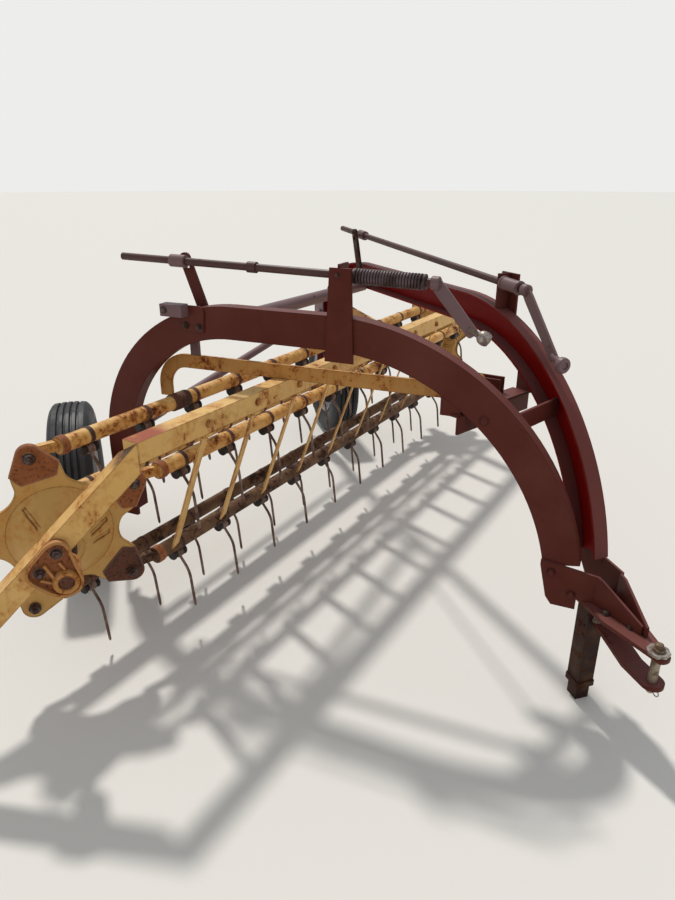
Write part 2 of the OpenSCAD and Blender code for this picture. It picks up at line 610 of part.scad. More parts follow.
// teeth of one bar: a rubber mount under the bar and a wire that leans forward, then hangs down
module tooth_set(k) color([0.25, 0.18, 0.15]) on_basket() {
    a = lobe_place(k, 0);
    // the rubber mount hangs 8 mm behind the bar's middle, its skin on the tube
    mount_z = -sqrt(pow(tine_bar_d / 2 + 19.3, 2) - 64);
    bend_r = 60;
    lean = 62;
    turn = tooth_slant - tooth_tip_slant;
    tail = (tooth_drop + mount_z - lean * cos(tooth_slant) - bend_r * (sin(tooth_slant) - sin(tooth_tip_slant))) / cos(tooth_tip_slant);
    for (i = [0:tooth_count - 1])
        translate([a[0] + tooth_first + i * tooth_pitch, a[1] + 8, a[2] + mount_z]) {
            translate([-30, 0, 0]) rotate([0, 90, 0]) cylinder(h = 60, d = 38);
            rotate([-tooth_slant, 0, 0]) {
                translate([0, 0, -lean]) cylinder(h = lean, d = tooth_d);
                translate([0, bend_r, -lean]) rotate([0, 90, 0]) rotate([0, 0, -90])
                    rotate_extrude(angle = turn, $fn = 96) translate([bend_r, 0]) circle(d = tooth_d, $fn = 16);
                translate([0, bend_r - bend_r * cos(turn), -lean - bend_r * sin(turn)]) rotate([turn, 0, 0])
                    translate([0, 0, -tail]) cylinder(h = tail, d = tooth_d);
            }
        }
}
module teeth_1() tooth_set(0);
module teeth_2() tooth_set(1);
module teeth_3() tooth_set(2);
module teeth_4() tooth_set(3);
module teeth_5() tooth_set(4);

arch_right();
arch_left();
gussets();
hitch_straps();
hitch_pin();
front_tie();
pivot_angle();
cross_pipe();
brace_tube();
crank_posts();
lever_pivots();
axle_plates();
crank_rods();
crank_springs();
crank_handles();
stand_sleeve();
stand_leg();
tyre_right();
rim_right();
tyre_left();
rim_left();
lever_right();
lever_left();
nut_right();
nut_left();
lift_links();
basket_arms();
top_beam();
end_beams();
bearing_brackets();
strippers();
head_right();
head_left();
bar_1();
bar_2();
bar_3();
bar_4();
bar_5();
teeth_1();
teeth_2();
teeth_3();
teeth_4();
teeth_5();
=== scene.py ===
"""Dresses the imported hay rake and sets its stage.

The solid model gives the places and the joints. The tyres, rims, star heads, teeth, castings,
crank grips and bolts are made here as surfaces, and every piece gets weathered paint, rust,
rubber or worn steel. Everything is in metres, in the machine's own frame: +X forward to the
hitch, +Y to the left, +Z up, with the origin on the ground under the parking stand.
"""

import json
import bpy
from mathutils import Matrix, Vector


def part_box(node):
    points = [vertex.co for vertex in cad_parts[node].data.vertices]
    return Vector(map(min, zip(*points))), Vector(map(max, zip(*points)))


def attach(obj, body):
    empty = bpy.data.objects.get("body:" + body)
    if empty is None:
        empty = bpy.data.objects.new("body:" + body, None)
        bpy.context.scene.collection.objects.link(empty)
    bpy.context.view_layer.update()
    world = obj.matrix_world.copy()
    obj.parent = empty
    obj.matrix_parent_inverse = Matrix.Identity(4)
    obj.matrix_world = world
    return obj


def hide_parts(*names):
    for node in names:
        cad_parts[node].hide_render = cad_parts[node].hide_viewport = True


bl_info = {
    "name": "Hay rake dressing",
    "version": (1, 0, 0),
    "blender": (4, 5, 0),
    "location": "3D View > Sidebar > Hay Rake",
    "description": "Builds the visible pieces and the paint of a parallel-bar hay rake around its solid model",
    "category": "Add Mesh",
}

from collections import namedtuple

import bpy
import numpy as np
from bpy.props import FloatProperty, FloatVectorProperty, IntProperty, PointerProperty
from mathutils import Matrix, Vector
from mathutils.geometry import tessellate_polygon

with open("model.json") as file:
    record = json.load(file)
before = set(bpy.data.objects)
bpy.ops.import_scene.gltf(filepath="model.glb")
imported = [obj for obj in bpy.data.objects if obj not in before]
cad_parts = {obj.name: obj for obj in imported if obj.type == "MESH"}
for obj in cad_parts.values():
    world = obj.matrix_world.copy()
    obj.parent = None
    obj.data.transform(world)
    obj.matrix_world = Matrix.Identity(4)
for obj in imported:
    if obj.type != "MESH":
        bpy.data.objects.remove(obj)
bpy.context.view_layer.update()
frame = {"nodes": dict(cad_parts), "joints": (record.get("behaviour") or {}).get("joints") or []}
NODES = frame["nodes"]
JOINTS = {j["name"]: j for j in frame["joints"]}


# ---- frames of the machine's own parts ----

def frame4(origin, x, y, z):
    """A 4x4 matrix whose columns are the three directions and the origin."""
    m = np.eye(4)
    m[:3, 0], m[:3, 1], m[:3, 2], m[:3, 3] = x, y, z, origin
    return m


def heading_frame(degrees, origin=(0.0, 0.0, 0.0)):
    """Frame turned about Z: its x runs along the heading."""
    a = np.radians(degrees)
    return frame4(origin, (np.cos(a), np.sin(a), 0), (-np.sin(a), np.cos(a), 0), (0, 0, 1))


def shift(x=0.0, y=0.0, z=0.0):
    """A pure move."""
    m = np.eye(4)
    m[:3, 3] = x, y, z
    return m


def turn(axis, degrees):
    """A pure turn about X, Y or Z."""
    return np.array(Matrix.Rotation(np.radians(degrees), 4, axis))


def moved(matrix, origin):
    """The same directions from another origin."""
    m = matrix.copy()
    m[:3, 3] = origin
    return m


def joint_at(name):
    """The place of a joint of the solid model."""
    return np.array(JOINTS[name]["pos_m"], float)


# x runs back along each arch from the hitch, y across it and z up
ARCH_RIGHT = heading_frame(230.0)
ARCH_LEFT = heading_frame(187.0, (0.0, 0.030, 0.0))

LIFT_AXIS = np.array(JOINTS["basket_lift"]["axis"], float)
REEL_AXIS = np.array(JOINTS["reel_right_spin"]["axis"], float)
HEAD_RIGHT_AT = joint_at("reel_right_spin")
REEL_SPAN = joint_at("reel_left_spin") - HEAD_RIGHT_AT
REEL_LEN = float(np.linalg.norm(REEL_SPAN))
BASKET = frame4(
    (HEAD_RIGHT_AT[0], HEAD_RIGHT_AT[1], 0.0), LIFT_AXIS, (-LIFT_AXIS[1], LIFT_AXIS[0], 0), (0, 0, 1))

# the heads' planes: x across to the left, y back along the reel's axis, z up
HEAD_X = np.array([-REEL_AXIS[1], REEL_AXIS[0], 0.0])
HEAD_RIGHT = frame4(HEAD_RIGHT_AT, HEAD_X, -REEL_AXIS, (0, 0, 1))
HEAD_LEFT = moved(HEAD_RIGHT, joint_at("reel_left_spin"))
LOBES = np.array([joint_at("tooth_bar_%d_pivot" % k) for k in range(1, 6)])
LOBE_ANGLES = np.arctan2(LOBES[:, 2] - HEAD_RIGHT_AT[2], (LOBES - HEAD_RIGHT_AT) @ HEAD_X)
LOBE_R = float(np.linalg.norm(LOBES[0] - HEAD_RIGHT_AT))

# turns that stand a shape drawn in x and y up, with its local z looking forward, back or along x
FACE_FRONT = frame4((0, 0, 0), (1, 0, 0), (0, 0, 1), (0, -1, 0))
FACE_BACK = frame4((0, 0, 0), (-1, 0, 0), (0, 0, 1), (0, 1, 0))
FACE_BACK_DOWN = frame4((0, 0, 0), (1, 0, 0), (0, 0, -1), (0, 1, 0))
ALONG_X = frame4((0, 0, 0), (0, 1, 0), (0, 0, 1), (1, 0, 0))
ALONG_BACK_X = frame4((0, 0, 0), (0, -1, 0), (0, 0, 1), (-1, 0, 0))


def wrapped(angle):
    """The angle brought to between -pi and pi."""
    return (angle + np.pi) % (2 * np.pi) - np.pi


# ---- shells: (points, quads, triangles) ----

def grid_shell(points, close_u=False, close_v=False):
    """Quads over a (u, v) grid of points; the outside is where du x dv points."""
    nu, nv = points.shape[:2]
    u = np.arange(nu if close_u else nu - 1)[:, None]
    v = np.arange(nv if close_v else nv - 1)[None, :]
    un, vn = (u + 1) % nu, (v + 1) % nv
    quads = np.stack([u * nv + v, un * nv + v, un * nv + vn, u * nv + vn], -1).reshape(-1, 4)
    return points.reshape(-1, 3), quads, np.zeros((0, 3), int)


def join(*shells):
    """Several shells as one, each with its own points."""
    starts = np.cumsum([0] + [len(s[0]) for s in shells])
    points = np.concatenate([s[0] for s in shells])
    return (points,) + tuple(np.concatenate([s[i] + o for s, o in zip(shells, starts)]) for i in (1, 2))


def place(shell, *matrices):
    """The shell carried through the matrices, the last one first."""
    m = np.eye(4)
    for step in matrices:
        m = m @ step
    return shell[0] @ m[:3, :3].T + m[:3, 3], shell[1], shell[2]


def repeat(shell, matrices):
    """One copy of the shell for each 4x4 matrix, all at once."""
    m = np.asarray(matrices, float).reshape(-1, 4, 4)
    n, k = len(shell[0]), len(m)
    points = np.einsum("kij,nj->kni", m[:, :3, :3], shell[0]) + m[:, None, :3, 3]
    offset = (np.arange(k) * n)[:, None, None]
    quads, tris = (shell[1][None] + offset).reshape(-1, 4), (shell[2][None] + offset).reshape(-1, 3)
    return points.reshape(-1, 3), quads, tris


def lathe(profile, around=48):
    """A surface of revolution about Z: point = (r cos a, r sin a, z) for (r, z) along the profile.

    The profile runs from the bottom up the outside. Where it starts or ends on the axis it gets
    one pole there, and a profile that never touches the axis is closed into a ring.
    """
    p = np.asarray(profile, float)
    foot, head = p[0, 0] < 1e-9, p[-1, 0] < 1e-9
    rings = p[int(foot): len(p) - int(head)]
    a = np.linspace(0, 2 * np.pi, around, endpoint=False)[:, None]
    grid = np.stack([rings[:, 0] * np.cos(a), rings[:, 0] * np.sin(a), rings[:, 1] + 0 * a], -1)
    points, quads, tris = grid_shell(grid, close_u=True, close_v=not (foot or head))
    i = np.arange(around)
    nxt, n = (i + 1) % around, len(rings)
    fans, poles = [tris], []
    if foot:
        fans.append(np.stack([i * 0 + len(points), nxt * n, i * n], -1))
        poles.append((0, 0, p[0, 1]))
    if head:
        fans.append(np.stack([i * 0 + len(points) + len(poles), i * n + n - 1, nxt * n + n - 1], -1))
        poles.append((0, 0, p[-1, 1]))
    return np.concatenate([points, np.array(poles, float).reshape(-1, 3)]), quads, np.concatenate(fans)


def collar(bore, outer, low, high, chamfer, drop, around=32):
    """A ring about Z from low to high, whose outer radius falls by drop over the chamfer at each end."""
    return lathe([
        (bore, low), (outer - drop, low), (outer, low + chamfer),
        (outer, high - chamfer), (outer - drop, high), (bore, high)], around)


def tube(path, radius, around=12, ref=(0.0, 0.0, 1.0)):
    """A circle carried along a path: point = path + r (cos a side + sin a up), side = tangent x ref.

    Both ends are closed by a fan.
    """
    path = np.asarray(path, float)
    t = np.gradient(path, axis=0)
    t /= np.linalg.norm(t, axis=1, keepdims=True)
    side = np.cross(t, np.asarray(ref, float))
    side /= np.linalg.norm(side, axis=1, keepdims=True)
    up = np.cross(side, t)
    r = np.broadcast_to(np.asarray(radius, float), (len(path),))[:, None, None]
    a = np.linspace(0, 2 * np.pi, around, endpoint=False)[None, :, None]
    grid = path[:, None] + r * (np.cos(a) * side[:, None] + np.sin(a) * up[:, None])
    points, quads, _ = grid_shell(grid, close_v=True)
    i = np.arange(around)
    nxt, last = (i + 1) % around, (len(path) - 1) * around
    start = np.stack([i * 0 + len(points), i, nxt], -1)
    end = np.stack([i * 0 + len(points) + 1, nxt + last, i + last], -1)
    return np.concatenate([points, path[:1], path[-1:]]), quads, np.concatenate([start, end])


def rounded(corners, radius, steps=5):
    """The corners' polygon with each corner P cut back by the radius to A and B.

    A parabola arc takes its place: (1-t)^2 A + 2t(1-t) P + t^2 B.
    """
    p = np.asarray(corners, float)
    back, on = np.roll(p, 1, 0) - p, np.roll(p, -1, 0) - p
    lb, lo = np.linalg.norm(back, axis=1, keepdims=True), np.linalg.norm(on, axis=1, keepdims=True)
    a = p + back / lb * np.minimum(radius, 0.49 * lb)
    b = p + on / lo * np.minimum(radius, 0.49 * lo)
    t = np.linspace(0, 1, steps)[None, :, None]
    return ((1 - t) ** 2 * a[:, None] + 2 * t * (1 - t) * p[:, None] + t ** 2 * b[:, None]).reshape(-1, 2)


def circle2(r, n):
    """A circle as a loop of n points: (r cos a, r sin a)."""
    a = np.linspace(0, 2 * np.pi, n, endpoint=False)
    return np.stack([r * np.cos(a), r * np.sin(a)], -1)


def twice_area(a, b, c):
    """Twice the signed area of each triangle a, b, c in the plane."""
    return (b[:, 0] - a[:, 0]) * (c[:, 1] - a[:, 1]) - (b[:, 1] - a[:, 1]) * (c[:, 0] - a[:, 0])


def plate(outer, z0, z1, holes=()):
    """A flat plate: the outline and its holes as two caps at z0 and z1, and a wall along each loop."""
    loops = []
    for i, loop in enumerate((outer,) + tuple(holes)):
        loop = np.asarray(loop, float)
        nxt = np.roll(loop, -1, 0)
        anticlockwise = np.sum(loop[:, 0] * nxt[:, 1] - nxt[:, 0] * loop[:, 1]) > 0
        loops.append(loop if anticlockwise == (i == 0) else loop[::-1])
    flat = np.concatenate(loops)
    tris = np.array(tessellate_polygon([[Vector((x, y, 0)) for x, y in l] for l in loops]), int)
    faces_up = twice_area(flat[tris[:, 0]], flat[tris[:, 1]], flat[tris[:, 2]]) > 0
    tris = np.where(faces_up[:, None], tris, tris[:, ::-1])
    n = len(flat)
    points = np.concatenate([np.column_stack([flat, np.full(n, z)]) for z in (z0, z1)])
    starts = np.cumsum([0] + [len(l) for l in loops])
    i = np.arange(n)
    nxt = np.concatenate([np.roll(np.arange(s, e), -1) for s, e in zip(starts[:-1], starts[1:])])
    walls = np.stack([i, nxt, nxt + n, i + n], -1)
    return points, walls, np.concatenate([tris[:, ::-1], tris + n])


def ribbon(path, thick, z0, z1, closed=False):
    """A wall of even thickness on a flat path: the path moved by half of it to either side, z0 to z1."""
    p = np.asarray(path, float)
    t = (np.roll(p, -1, 0) - np.roll(p, 1, 0)) if closed else np.gradient(p, axis=0)
    t /= np.linalg.norm(t, axis=1, keepdims=True)
    n = np.stack([t[:, 1], -t[:, 0]], -1) * thick / 2
    low, high = np.full(len(p), z0), np.full(len(p), z1)
    ring = np.stack([np.column_stack(side) for side in ((p + n, low), (p + n, high), (p - n, high), (p - n, low))], 1)
    points, quads, tris = grid_shell(ring, close_u=closed, close_v=True)
    if not closed:
        e = (len(p) - 1) * 4
        quads = np.concatenate([quads, [[0, 1, 2, 3], [e + 3, e + 2, e + 1, e]]])
    return points, quads, tris


WASHER_T = 0.0022


def hex_bolt(across, high, washer, stub=0.0):
    """A washer, a six-sided head with its corners turned off and, if asked, the screw's end past it.

    All of them are lathes about Z standing on z = 0; washer is the washer's radius.
    """
    r, top = across / 1.732, WASHER_T + high
    parts = [
        lathe([(0, 0), (washer, 0), (washer, WASHER_T), (0, WASHER_T)], 18),
        lathe([(0, WASHER_T), (r, WASHER_T), (r, WASHER_T + high * 0.8), (r * 0.84, top), (0, top)], 6),
    ]
    if stub > 0:
        tip = top + stub
        parts.append(lathe(
            [(0, top), (r * 0.52, top), (r * 0.52, top + stub * 0.8), (r * 0.4, tip), (0, tip)], 10))
    return join(*parts)


def dome_bolt(r, high, washer):
    """A round-headed bolt on a washer: the head's profile is a quarter ellipse."""
    a = np.linspace(0, np.pi / 2, 7)
    head = np.stack([r * np.cos(a), WASHER_T + high * np.sin(a)], -1)
    head[-1, 0] = 0
    disc = lathe([(0, 0), (washer, 0), (washer, WASHER_T), (0, WASHER_T)], 18)
    return join(disc, lathe(np.concatenate([[(0, WASHER_T)], head]), 14))


FINISH = {}  # filled by the Paint operator


def in_scene(name, data):
    """A new object of the scene that holds a mesh, a camera or a lamp."""
    obj = bpy.data.objects.new(name, data)
    bpy.context.scene.collection.objects.link(obj)
    return obj


def piece(name, shell, body, finish, replaces=(), bevel=0.0, sharp=38.0):
    """Puts a shell into a mesh object at the origin, smooth up to the sharp angle.

    It rides on its body, takes a finish and stands for the nodes that it replaces.
    """
    mesh = bpy.data.meshes.new(name)
    points, quads, tris = shell
    mesh.from_pydata(points.tolist(), [], quads.tolist() + tris.tolist())
    mesh.validate()
    mesh.polygons.foreach_set("use_smooth", np.ones(len(mesh.polygons), bool))
    mesh.set_sharp_from_angle(angle=np.radians(sharp))
    mesh.update()
    obj = in_scene(name, mesh)
    mesh.materials.append(FINISH[finish])
    if bevel:
        mod = obj.modifiers.new("edges", "BEVEL")
        mod.width, mod.segments, mod.limit_method, mod.angle_limit = bevel, 2, "ANGLE", np.radians(35)
    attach(obj, body)
    if replaces:
        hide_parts(*replaces)


# ---- finishes ----

def linear(colour):
    """A colour as it looks on screen, turned into the light values that a shader takes."""
    c = np.asarray(colour, float)[:3]
    return tuple(np.where(c <= 0.04045, c / 12.92, ((c + 0.055) / 1.055) ** 2.4)) + (1.0,)


def mixed(share, a, b):
    """A share of colour a and the rest of colour b."""
    return tuple(share * np.array(a) + (1 - share) * np.array(b))


class Nodes:
    """A material, with short calls for building its node tree."""

    def __init__(self, name):
        self.material = bpy.data.materials.new(name)
        self.material.use_nodes = True
        self.tree = self.material.node_tree
        self.tree.nodes.clear()
        self.shader = self.add("BsdfPrincipled")
        self.feed(self.add("OutputMaterial").inputs[0], self.shader.outputs[0])
        self.coord = self.add("TexCoord").outputs

    def add(self, kind):
        """A new node of a kind."""
        return self.tree.nodes.new("ShaderNode" + kind)

    def feed(self, socket, value):
        """Links an output to a socket, or writes a plain value there."""
        if isinstance(value, bpy.types.NodeSocket):
            self.tree.links.new(value, socket)
        else:
            socket.default_value = value

    def feed_all(self, node, values):
        """Feeds several sockets of a node and returns it."""
        for socket, value in values.items():
            self.feed(node.inputs[socket], value)
        return node

    def noise(self, scale, detail, rough, offset=0.0, stretch=(1, 1, 1), distortion=0.0):
        """Fractal noise over Object coordinates, moved and stretched by a Mapping node."""
        mapping = self.feed_all(self.add("Mapping"), {
            "Vector": self.coord["Object"], "Location": (offset, offset * 0.7, offset * 1.3), "Scale": stretch})
        return self.feed_all(self.add("TexNoise"), {
            "Vector": mapping.outputs[0], "Scale": scale, "Detail": detail, "Roughness": rough,
            "Distortion": distortion}).outputs["Fac"]

    def band(self, value, low, high, to_low=0.0, to_high=1.0):
        """A smooth step from to_low to to_high as the value goes from low to high."""
        m = self.add("MapRange")
        m.interpolation_type = "SMOOTHSTEP"
        return self.feed_all(m, {0: value, 1: low, 2: high, 3: to_low, 4: to_high}).outputs[0]

    def math(self, operation, a, b):
        """Two values multiplied or added, held between 0 and 1."""
        m = self.add("Math")
        m.operation, m.use_clamp = operation, True
        return self.feed_all(m, {0: a, 1: b}).outputs[0]

    def times(self, a, b):
        return self.math("MULTIPLY", a, b)

    def plus(self, a, b):
        return self.math("ADD", a, b)

    def blend(self, share, a, b):
        """Colour a where share is 0 and b where it is 1."""
        m = self.add("Mix")
        m.data_type = "RGBA"
        return self.feed_all(m, {0: share, 6: a, 7: b}).outputs[2]

    def compare(self, operation, a, b):
        """A number from two vectors, such as their dot product or distance."""
        m = self.add("VectorMath")
        m.operation = operation
        return self.feed_all(m, {0: a, 1: b}).outputs["Value"]

    def edges(self, radius):
        """1 on worn corners: where the normal rounded over the radius leaves the face's own normal."""
        bevel = self.feed_all(self.add("Bevel"), {"Radius": radius})
        bevel.samples = 4
        own = self.add("NewGeometry").outputs["Normal"]
        return self.band(self.compare("DOT_PRODUCT", bevel.outputs[0], own), 0.9, 0.995, 1.0, 0.0)

    def upward(self, low=0.55, high=0.95):
        """1 on faces that look up, in the piece's own frame."""
        split = self.feed_all(self.add("SeparateXYZ"), {0: self.coord["Normal"]})
        return self.band(split.outputs[2], low, high)

    def facing(self, direction, low, high):
        """1 on faces whose normal, in the piece's own frame, looks along a direction."""
        unit = tuple(np.array(direction, float) / np.linalg.norm(direction))
        return self.band(self.compare("DOT_PRODUCT", self.coord["Normal"], unit), low, high)

    def near(self, point, radius, ragged):
        """1 close to a point and 0 past the radius, with a ragged edge."""
        reach = self.add("Math")
        reach.operation = "MULTIPLY_ADD"
        gap = self.compare("DISTANCE", self.coord["Object"], tuple(point))
        self.feed_all(reach, {0: ragged, 1: radius * 1.2, 2: gap})
        return self.band(reach.outputs[0], radius * 1.1, radius * 1.6, 1.0, 0.0)

    def finish(self, colour, roughness, relief, strength, distance):
        """Gives the shader its colour, roughness and bump, and returns the material."""
        bump = self.feed_all(self.add("Bump"), {"Strength": strength, "Distance": distance, "Height": relief})
        self.feed_all(self.shader, {"Base Color": colour, "Roughness": roughness, "Normal": bump.outputs[0]})
        return self.material


DUST = (0.62, 0.47, 0.33)


def weathered_paint(name, paint, faded, rust, dark, scale, rusty, fade_up=0.5, edge=0.005, edge_share=0.9,
                    dusty=0.1, streak=0.0, halo=None, patch=0.3, sheen=0.5, gloss=0.25, outward=None, blush=None):
    """Old paint on steel: pale patches, upper faces painted paler for the sunlight on them and for sun fading, rust
    spots, worn corners and thin dust.

    rusty is the noise level above which rust shows, with a stained ring (halo) round it and a dark
    core; streak is how much rust has run down, edge the radius of the worn corners, sheen the
    paint's roughness and gloss its specular level. fade_up is how far the upward faces go to the pale
    colour, as painted sunlight and sun fading. outward is a direction and a paler colour painted on
    the faces that look there, as sunlight with sun fading; blush is a point, a radius and the colour
    of the upper faces near it.
    """
    n = Nodes(name)
    patches = n.noise(scale * 0.45, 5.0, 0.62, 3.1)
    spots = n.noise(scale * 2.2, 8.0, 0.70, 7.7, distortion=0.3)
    specks = n.noise(scale * 11.0, 4.0, 0.6, 1.3)
    grain = n.noise(scale * 60.0, 3.0, 0.6)
    colour = n.blend(n.band(patches, 0.38, 0.66), linear(paint), linear(mixed(patch, faded, paint)))
    # painted sunlight: faces that look toward the sun take a paler colour, which also stands for sun fading
    if outward:
        direction, cap = outward
        colour = n.blend(n.facing(direction, 0.30, 0.62), colour, linear(cap))
    # painted sunlight: faces that look up are blended towards the pale colour, which also stands for the paint's sun
    # fading
    sky = n.times(n.upward(), n.band(patches, 0.25, 0.6, fade_up, fade_up * 0.55))
    colour = n.blend(sky, colour, linear(faded))
    if blush:
        point, radius, tint = blush
        stained = n.times(n.near(point, radius, patches), n.upward(0.4, 0.8))
        colour = n.blend(stained, colour, linear(tint))
    if streak:
        run = n.noise(scale * 6.0, 5.0, 0.6, 5.5, (1, 1, 0.10))
        colour = n.blend(n.times(n.band(run, 0.52, 0.70), streak), colour, linear(mixed(0.55, rust, paint)))
    spread = n.plus(n.times(spots, 0.74), n.times(specks, 0.26))
    if halo:
        ring = n.band(spread, rusty - 0.16, rusty - 0.01)
        colour = n.blend(n.times(ring, 0.75), colour, linear(halo))
    stain = n.band(spread, rusty - 0.05, rusty + 0.03)
    colour = n.blend(stain, colour, linear(rust))
    colour = n.blend(n.band(spread, rusty + 0.015, rusty + 0.07), colour, linear(dark))
    corner = n.times(n.edges(edge), n.band(spots, 0.36, 0.56, edge_share * 0.35, edge_share))
    colour = n.blend(corner, colour, linear(mixed(0.5, rust, dark)))
    film = n.times(n.band(n.noise(scale * 1.7, 4.0, 0.5, 9.0), 0.4, 0.72), dusty)
    colour = n.blend(film, colour, linear(DUST))
    n.shader.inputs["Specular IOR Level"].default_value = gloss
    relief = n.plus(n.times(stain, n.times(grain, 0.9)), n.times(grain, 0.18))
    return n.finish(colour, n.band(n.plus(stain, corner), 0.0, 1.0, sheen, 0.86), relief, 0.5, 0.0012)


def bare_steel(name, steel, brown, metallic, scale, rough=(0.38, 0.75)):
    """Worn steel under a brown film: the film is thick where slow noise is high, and the gloss follows it."""
    n = Nodes(name)
    film = n.band(n.noise(scale, 7.0, 0.65), 0.36, 0.62)
    fine = n.noise(scale * 8, 3.0, 0.5)
    colour = n.blend(film, linear(steel), linear(brown))
    colour = n.blend(n.band(fine, 0.58, 0.72, 0.0, 0.6), colour, linear(0.45 * np.array(brown)))
    n.shader.inputs["Metallic"].default_value = metallic
    return n.finish(colour, n.band(film, 0.0, 1.0, *rough), fine, 0.35, 0.0006)


def dusty_rubber(name, rubber, dust, scale, up):
    """Aged rubber: grey bloom in slow patches, and dust caught in the fine grain."""
    n = Nodes(name)
    bloom = n.band(n.noise(scale, 5.0, 0.6), 0.35, 0.7)
    grain = n.noise(scale * 26, 4.0, 0.6)
    colour = n.blend(bloom, linear(rubber), linear(mixed(0.7, rubber, dust)))
    caught = n.times(n.band(grain, 0.42, 0.68), n.band(bloom, 0.0, 1.0, up * 0.5, up))
    colour = n.blend(caught, colour, linear(dust))
    return n.finish(colour, n.band(bloom, 0.0, 1.0, 0.55, 0.85), grain, 0.3, 0.0008)


def cast_iron(name, iron, bright, dark, scale=16.0):
    """A rusted casting: orange on dark brown, paler corners and a coarse sand-cast bump."""
    n = Nodes(name)
    large = n.band(n.noise(scale * 0.5, 5.0, 0.6), 0.36, 0.62)
    fine = n.noise(scale * 7, 6.0, 0.7)
    colour = n.blend(large, linear(iron), linear(bright))
    colour = n.blend(n.band(fine, 0.5, 0.68), colour, linear(dark))
    colour = n.blend(n.times(n.edges(0.004), 0.7), colour, linear(0.5 * np.array(bright) + 0.35))
    return n.finish(colour, n.band(fine, 0.3, 0.7, 0.6, 0.92), fine, 0.6, 0.0018)


